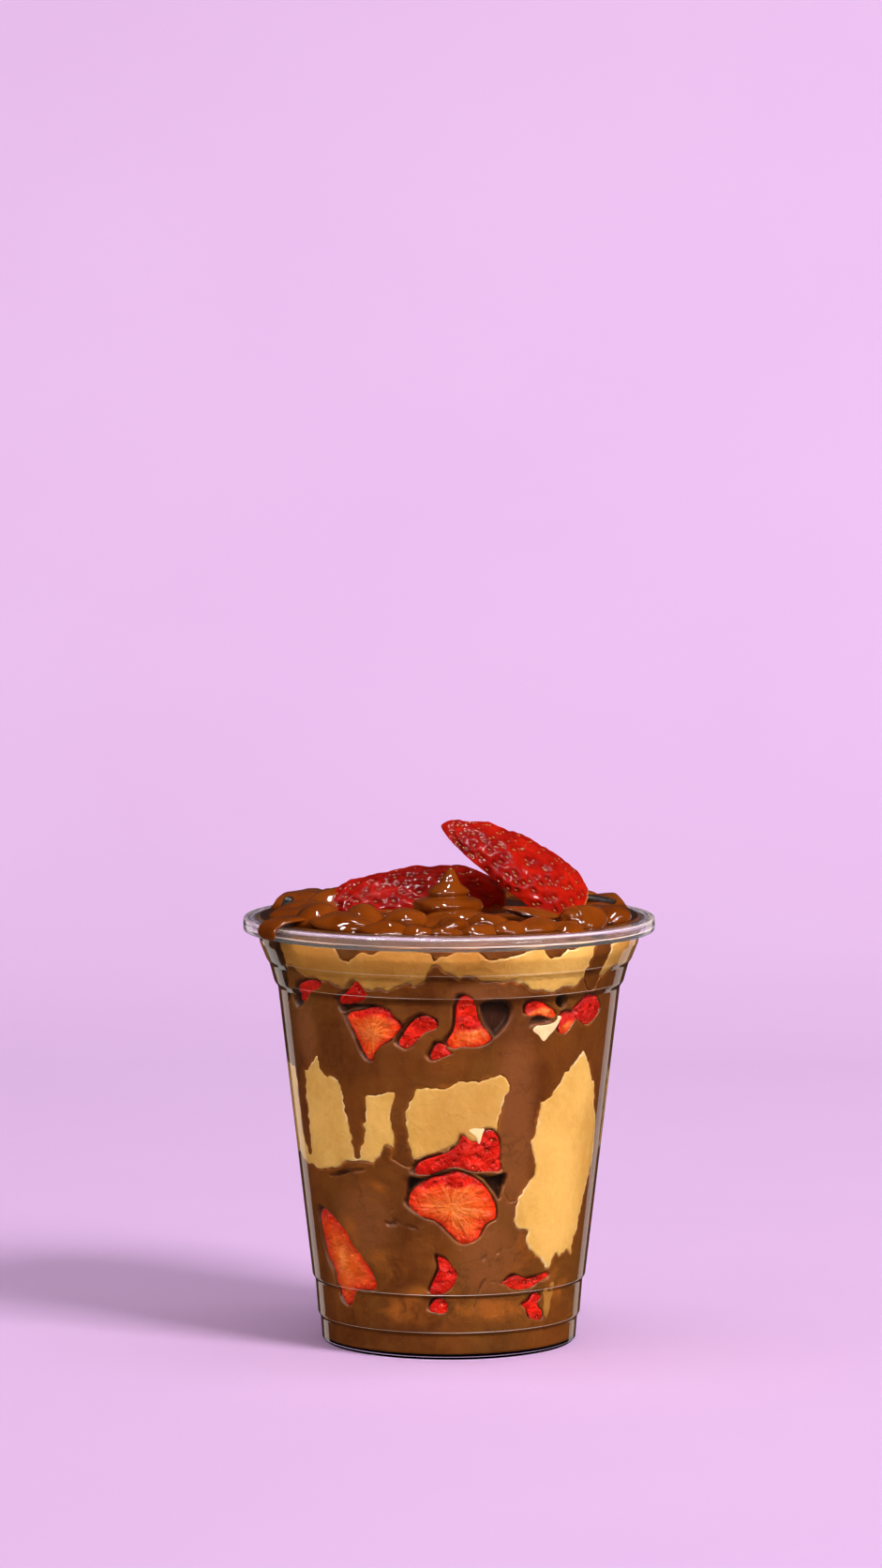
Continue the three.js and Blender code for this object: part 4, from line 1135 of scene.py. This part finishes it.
def pressed(outline, depth, seed, reach=0.0):
    """A rounded pebble over an outline on the wall, flat where it meets the plastic: rings run from the middle
    of its face over its edge to the middle of its back. Also gives, for each point, the angle, the height, the
    share of the way to the edge, and how far it faces the wall, from 1 to -1."""
    edge = rounded(outline)
    middle = edge.mean(0)
    down = np.linspace(0.02, math.pi - 0.04, 56)[:, None]
    share = np.sin(down) ** 0.62
    spot = middle + (edge[None] - middle) * share[..., None]
    angle, z = spot[..., 0], spot[..., 1]
    facing = np.cos(down)
    into = depth * (0.62 * np.sign(facing) * np.abs(facing) ** 0.3 - 0.5) + 0 * z
    near = np.maximum(into + 0.4, 0)
    into = np.where(into > -0.4, 0.12 - 0.52 * np.exp(-near / 0.52), into)
    rough = noise(around(angle, NEAR_WALL, z), 4, seed) * 0.12 * (facing > 0)
    into = np.minimum(into + rough - 0.05, 0.2) + reach
    return around(angle, wall(z) - WALL + into, z), angle, z, share + 0 * z, facing + 0 * z


def wall_piece(name):
    """A strawberry piece: its face is cut flesh below a height and skin above it."""
    depth, cut_below, (ray_angle, ray_z), outline = PIECES[name]
    seed = sum(map(ord, name))
    rings, angle, z, core, facing = pressed(outline, depth, seed)
    edge = 0.5 * np.sin(np.radians(angle) * 30 + seed)
    cut = smooth((cut_below - z + edge) / 1.4) * (facing > -0.2) if cut_below else 0 * z
    ray = np.arctan2(z - ray_z, np.radians(angle - ray_angle) * NEAR_WALL) / math.pi
    shade = 0.55 * smooth((z - z.max() + 2) / 3) + 0.4 * smooth((core - 0.86) / 0.14)
    marks = {"cut": cut, "core": core, "ray": ray, "shade": np.clip(shade, 0, 0.8)}
    shell(name + "_piece", rings, BERRY, [name], marks)


def smear(name, outline):
    """A thin streak of cream: pale beside the berries, and darker brown where it is low down."""
    rings, _, z, _, _ = pressed(outline, SMEAR_DEPTH, 5, SMEAR_REACH)
    low = np.full(z.shape, float(name == "cream_patch"))
    marks = {"cover": np.full(z.shape, COVERED), "pale": 0.5 - 0.5 * low, "stain_and_shade": low}
    shell(name, rings, CREAM_LOOK, (), marks)


# The halves and the shards on top.

# Each half: middle of its broad end, ways of its tip and its flat face, length, width and thickness.
HALVES = {
    "strawberry_leaning": (
        (29.2, -1, 102.4), (-0.813, -0.179, 0.56), (-0.583, 0.267, -0.762), 38.4, 24.8, 9.4,
    ),
    "strawberry_lying": ((12.4, 9, 99.8), (-0.985, -0.13, 0.065), (0, 0.1, -1), 44.5, 26, 12.2),
}
SEEDS = 170
SEED_TURN = 2.39996
# Each shard: middle, half sizes, turn and tilt.
SHARDS = {
    "shard_right": ((35.6, 9, 104.6), (4.4, 3, 0.8), 18, 10),
    "shard_left": ((-39, 6, 103), (1.2, 1.1, 2.8), -20, 24),
}


def berry_radius(t):
    """Share of a strawberry's half width along its length: broad shoulders and a blunt tip."""
    shoulder = 0.74 + 0.26 * np.sin(math.pi / 2 * np.minimum(1, t / 0.25))
    along = np.clip((t - 0.25) / 0.75, 0, 1)
    return shoulder * (1 - along ** 1.9) ** 0.58


def half_berry(name, seed):
    """Half a strawberry: a round skin side and a flat cut side, with a seed in each dimple.

    A point is at t along the length and p round the section; the skin side is (radius cos p, radius sin p).
    The skin sinks at each dimple, rises at each seed, and is made uneven by noise."""
    end, tip, flat, length, width, thickness = (np.array(v, float) for v in HALVES[name])
    u = tip / np.linalg.norm(tip)
    n = flat - u * flat.dot(u)
    n /= np.linalg.norm(n)
    w = np.cross(n, u)
    rows, skin, face = 220, 250, 60
    t = 0.9985 * np.sin(math.pi / 2 * np.linspace(0, 1, rows) ** 0.85)
    p = np.linspace(0, math.pi, skin)
    radius = berry_radius(t)[:, None]
    across = np.concatenate([np.cos(p), np.linspace(-1, 1, face + 2)[1:-1]])[None, :] * radius
    depth = np.concatenate([np.sin(p), np.zeros(face)])[None, :] * radius
    normal_a = np.concatenate([np.cos(p), np.zeros(face)])[None, :] + 0 * radius
    normal_d = np.concatenate([np.sin(p), -np.ones(face)])[None, :] + 0 * radius
    along = t[:, None] * length + 0 * across
    on_skin = np.concatenate([np.ones(skin), np.zeros(face)])[None, :] > 0
    surface = np.stack([along, across * width / 2, depth * thickness], -1)
    dimple = np.zeros(across.shape)
    raised = np.zeros(across.shape)
    seeds = np.zeros(across.shape)
    draw = np.random.default_rng(seed)
    for k in range(SEEDS):
        tk = 0.03 + 0.93 * ((k + draw.random()) / SEEDS)
        pk = (k * SEED_TURN + 0.5 * draw.random()) % math.pi
        rk = float(berry_radius(np.array(tk)))
        spot = np.array([tk * length, rk * math.cos(pk) * width / 2, rk * math.sin(pk) * thickness])
        gap = surface - spot
        d_along, d_round = gap[..., 0], np.hypot(gap[..., 1], gap[..., 2])
        size = 0.8 + 0.3 * draw.random()
        dimple = np.maximum(dimple, np.exp(-((d_along / 1.05) ** 2 + (d_round / 0.85) ** 2) / size ** 2))
        drop = np.sqrt((d_along / (0.4 * size)) ** 2 + (d_round / (0.24 * size)) ** 2)
        raised = np.maximum(raised, np.sqrt(np.maximum(0, 1 - drop ** 2)))
        seeds = np.maximum(seeds, smooth((1.1 - drop) / 0.3) * (0.35 + 0.65 * draw.random()))
    uneven = 0.3 * noise(surface, 8, seed) + 0.1 * noise(surface, 2.2, seed + 1)
    push = on_skin * (-0.62 * dimple + 0.42 * raised + uneven) - 0.1
    swell = np.minimum(1, radius * 3)
    across_mm = across * width / 2 + push * normal_a * swell
    depth_mm = np.maximum(0.0, depth * thickness + push * normal_d * swell * on_skin)
    points = end + along[..., None] * u + across_mm[..., None] * w - depth_mm[..., None] * n
    cut = np.where(on_skin, 0.0, 1.0) + 0 * along
    cut[0] = 1.0
    lid = end + 0.55 * (points[0] - end) + 0.3 * u
    points = np.concatenate([lid[None], points])
    first = np.zeros((1, points.shape[1]))
    values = {
        "cut": np.concatenate([first + 1, cut]), "seed": np.concatenate([first, seeds * on_skin]),
        "dimple": np.concatenate([first, dimple * on_skin]),
    }
    shell(name + "_skin", points, HALF, [name], values)


def shard(name, seed):
    """A thin broken piece: a box with rounded, uneven sides, as a superellipse in two directions."""
    at, half, turn, tilt = SHARDS[name]
    down, along = globe(30, 60)

    def squared(v):
        return np.sign(v) * np.abs(v) ** 0.45

    x = half[0] * squared(np.sin(down)) * squared(np.cos(along))
    y = half[1] * squared(np.sin(down)) * squared(np.sin(along))
    z = half[2] * squared(np.cos(down)) + 0 * along
    points = np.stack([x, y, z], -1)
    points *= 0.95 + 0.05 * noise(points, 3, seed)[..., None]
    shell(name + "_piece", turned(points, tilt, turn, at), DARK, [name])


cup()
# The painted highlight rings on the rim and the ledges.
for k, (radius, height, half) in enumerate(HIGHLIGHT_RINGS):
    highlight_ring(f"cup_highlight_{k + 1}", radius, height, half)
put_layer(BASE, PRESSED_SAUCE)
put_layer(CREAM, CREAM_LOOK)
put_layer(MIDDLE, PRESSED_SAUCE)
put_layer(UPPER, CREAM_LOOK)
topping()
peak()
spill()
for k, (at, half, turn, tilt, ripple) in enumerate(LUMPS):
    lump(f"sauce_lump_{k + 1}", at, half, turn, tilt, 40 + 3 * k, ripple)
for name in PIECES:
    wall_piece(name)
for name, outline in SMEARS.items():
    smear(name, outline)
half_berry("strawberry_leaning", 7)
half_berry("strawberry_lying", 8)
shard("shard_right", 31)
shard("shard_left", 32)


# Stage, lights and camera, in metres.

# The view: the picture's height and the focal length, in its pixels, the sensor in millimetres, and the
# camera's place and downward pitch.
PICTURE_HEIGHT = 1672
FOCAL_LENGTH = 6466.48
SENSOR = 36
CAMERA_AT = (-0.0019, -1.434995, 0.260666)
CAMERA_PITCH = 0.0886739
# Strength of the even surround, and what glossy surfaces see of it.
SURROUND, SURROUND_IN_GLOSS = 0.37, 0.02
WHITE, WARM = (1, 1, 1), (1, 0.9, 0.85)
# Soft fills for the food: place and power.
FILLS = [("fill_left", (-1.4, -0.75, 0.35), 17), ("fill_right", (1.3, -0.9, 0.3), 8)]
# Lights that show only as glints: place, size, power and colour.
GLINTS = [
    ("glint_front", (0.1, -0.9, 1.0), (0.9, 0.06), 14, WHITE),
    ("glint_left", (-0.8, -0.8, 0.9), (0.26, 0.13), 9, WHITE),
    ("glint_high", (-0.15, 0.0, 1.2), (0.5, 0.05), 6, WHITE),
    ("glint_right", (0.75, -0.9, 0.8), (0.12, 0.12), 5, WHITE),
    ("streak_left", (-0.5, 0.8, -0.1), (0.25, 0.5), 0.3, WARM),
    ("streak_right", (0.5, 0.8, -0.1), (0.25, 0.5), 0.3, WARM),
]


def sweep(name, y, z, material, unseen):
    """Part of the sweep: a line of points carried across. unseen lists the rays that pass it by."""
    xs = np.linspace(-3, 3, 3)
    points = np.array([(x, b, c) for b, c in zip(y, z) for x in xs])
    corners = [i * 3 + j for i in range(len(y) - 1) for j in range(2)]
    faces = [(k, k + 1, k + 4, k + 3) for k in corners]
    mesh = bpy.data.meshes.new(name)
    mesh.from_pydata(points.tolist(), [], faces)
    mesh.polygons.foreach_set("use_smooth", [True] * len(faces))
    mesh.materials.append(material)
    made = bpy.data.objects.new(name, mesh)
    for key in unseen:
        setattr(made, "visible_" + key, False)
    bpy.context.scene.collection.objects.link(made)


def stage():
    """A level pale lilac floor that curves up behind in a quarter circle, clear from its back. It throws no
    light of its own colour on the food."""
    made, tree, shader = material_of("sweep")
    lilac = blend(tree, clouds(tree, Size=240), (0.865, 0.555, 0.93, 1), (0.885, 0.575, 0.95, 1))
    fill(tree, shader, {"Base Color": lilac, "Roughness": 0.9, "Specular IOR Level": 0.0})
    behind = node(tree, "NewGeometry").outputs["Backfacing"]
    clear = node(tree, "BsdfTransparent")
    mix = node(tree, "MixShader", {0: behind, 1: shader.outputs[0], 2: clear.outputs[0]})
    tree.links.new(mix.outputs[0], tree.nodes["Material Output"].inputs["Surface"])
    turn = np.linspace(0, math.pi / 2, 24)
    sweep("floor", [-3, -1, 0, 0.5], [0, 0, 0, 0], made, ["diffuse", "glossy", "transmission"])
    y = np.concatenate([[0.5], 0.5 + 0.5 * np.sin(turn)[1:], [1.0]])
    z = np.concatenate([[0], 0.5 * (1 - np.cos(turn[1:])), [2.6]])
    sweep("backdrop", y, z, made, ["diffuse", "glossy"])


def area(name, at, towards, size, power, colour=WHITE):
    """A rectangular light at a place, facing another."""
    light = bpy.data.lights.new(name, "AREA")
    light.shape = "RECTANGLE"
    light.size, light.size_y = size
    light.energy = power
    light.color = colour
    made = bpy.data.objects.new(name, light)
    made.location = at
    made.rotation_euler = (Vector(towards) - Vector(at)).to_track_quat("-Z", "Y").to_euler()
    bpy.context.scene.collection.objects.link(made)
    return made


def studio():
    """An even soft surround, dim in reflections so that glossy sauce stays deep, a soft key light, narrow
    lights that show only as glints, and two soft fills for the food behind the wall, because the plastic turns
    half of the even light back."""
    world = bpy.data.worlds.new("studio")
    bpy.context.scene.world = world
    world.use_nodes = True
    tree = world.node_tree
    glossy = node(tree, "LightPath").outputs["Is Glossy Ray"]
    strength = between(tree, glossy, 0, 1, SURROUND, SURROUND_IN_GLOSS)
    fill(tree, tree.nodes["Background"], {"Color": (1.0, 0.98, 0.97, 1), "Strength": strength})
    key = area("key", (1.89, -1.66, 1.97), (0, 0, 0.05), (0.9, 0.9), 72, (1, 0.985, 0.965))
    glow = area("backdrop_glow", (0, 0.1, 1.7), (0, 1.0, 0.5), (1.8, 0.5), 6)
    for light in (key, glow):
        light.visible_glossy = False
    for name, at, power in FILLS:
        light = area(name, at, (0, 0, 0.05), (1.0, 1.0), power)
        light.visible_glossy = False
        light.light_linking.receiver_collection = FOOD
    for name, at, size, power, colour in GLINTS:
        light = area(name, at, (0, 0, 0.1), size, power, colour)
        light.visible_diffuse = False
        light.visible_transmission = False


def view():
    """The camera, level from side to side and looking slightly down on the cup."""
    camera = bpy.data.cameras.new("camera")
    camera.sensor_fit = "VERTICAL"
    camera.sensor_height = SENSOR
    camera.lens = FOCAL_LENGTH / PICTURE_HEIGHT * SENSOR
    camera.clip_end = 20
    made = bpy.data.objects.new("camera", camera)
    made.location = CAMERA_AT
    made.rotation_euler = (math.pi / 2 - CAMERA_PITCH, 0, 0)
    bpy.context.scene.collection.objects.link(made)
    bpy.context.scene.camera = made
    bpy.context.scene.view_settings.view_transform = "Standard"


stage()
studio()
view()
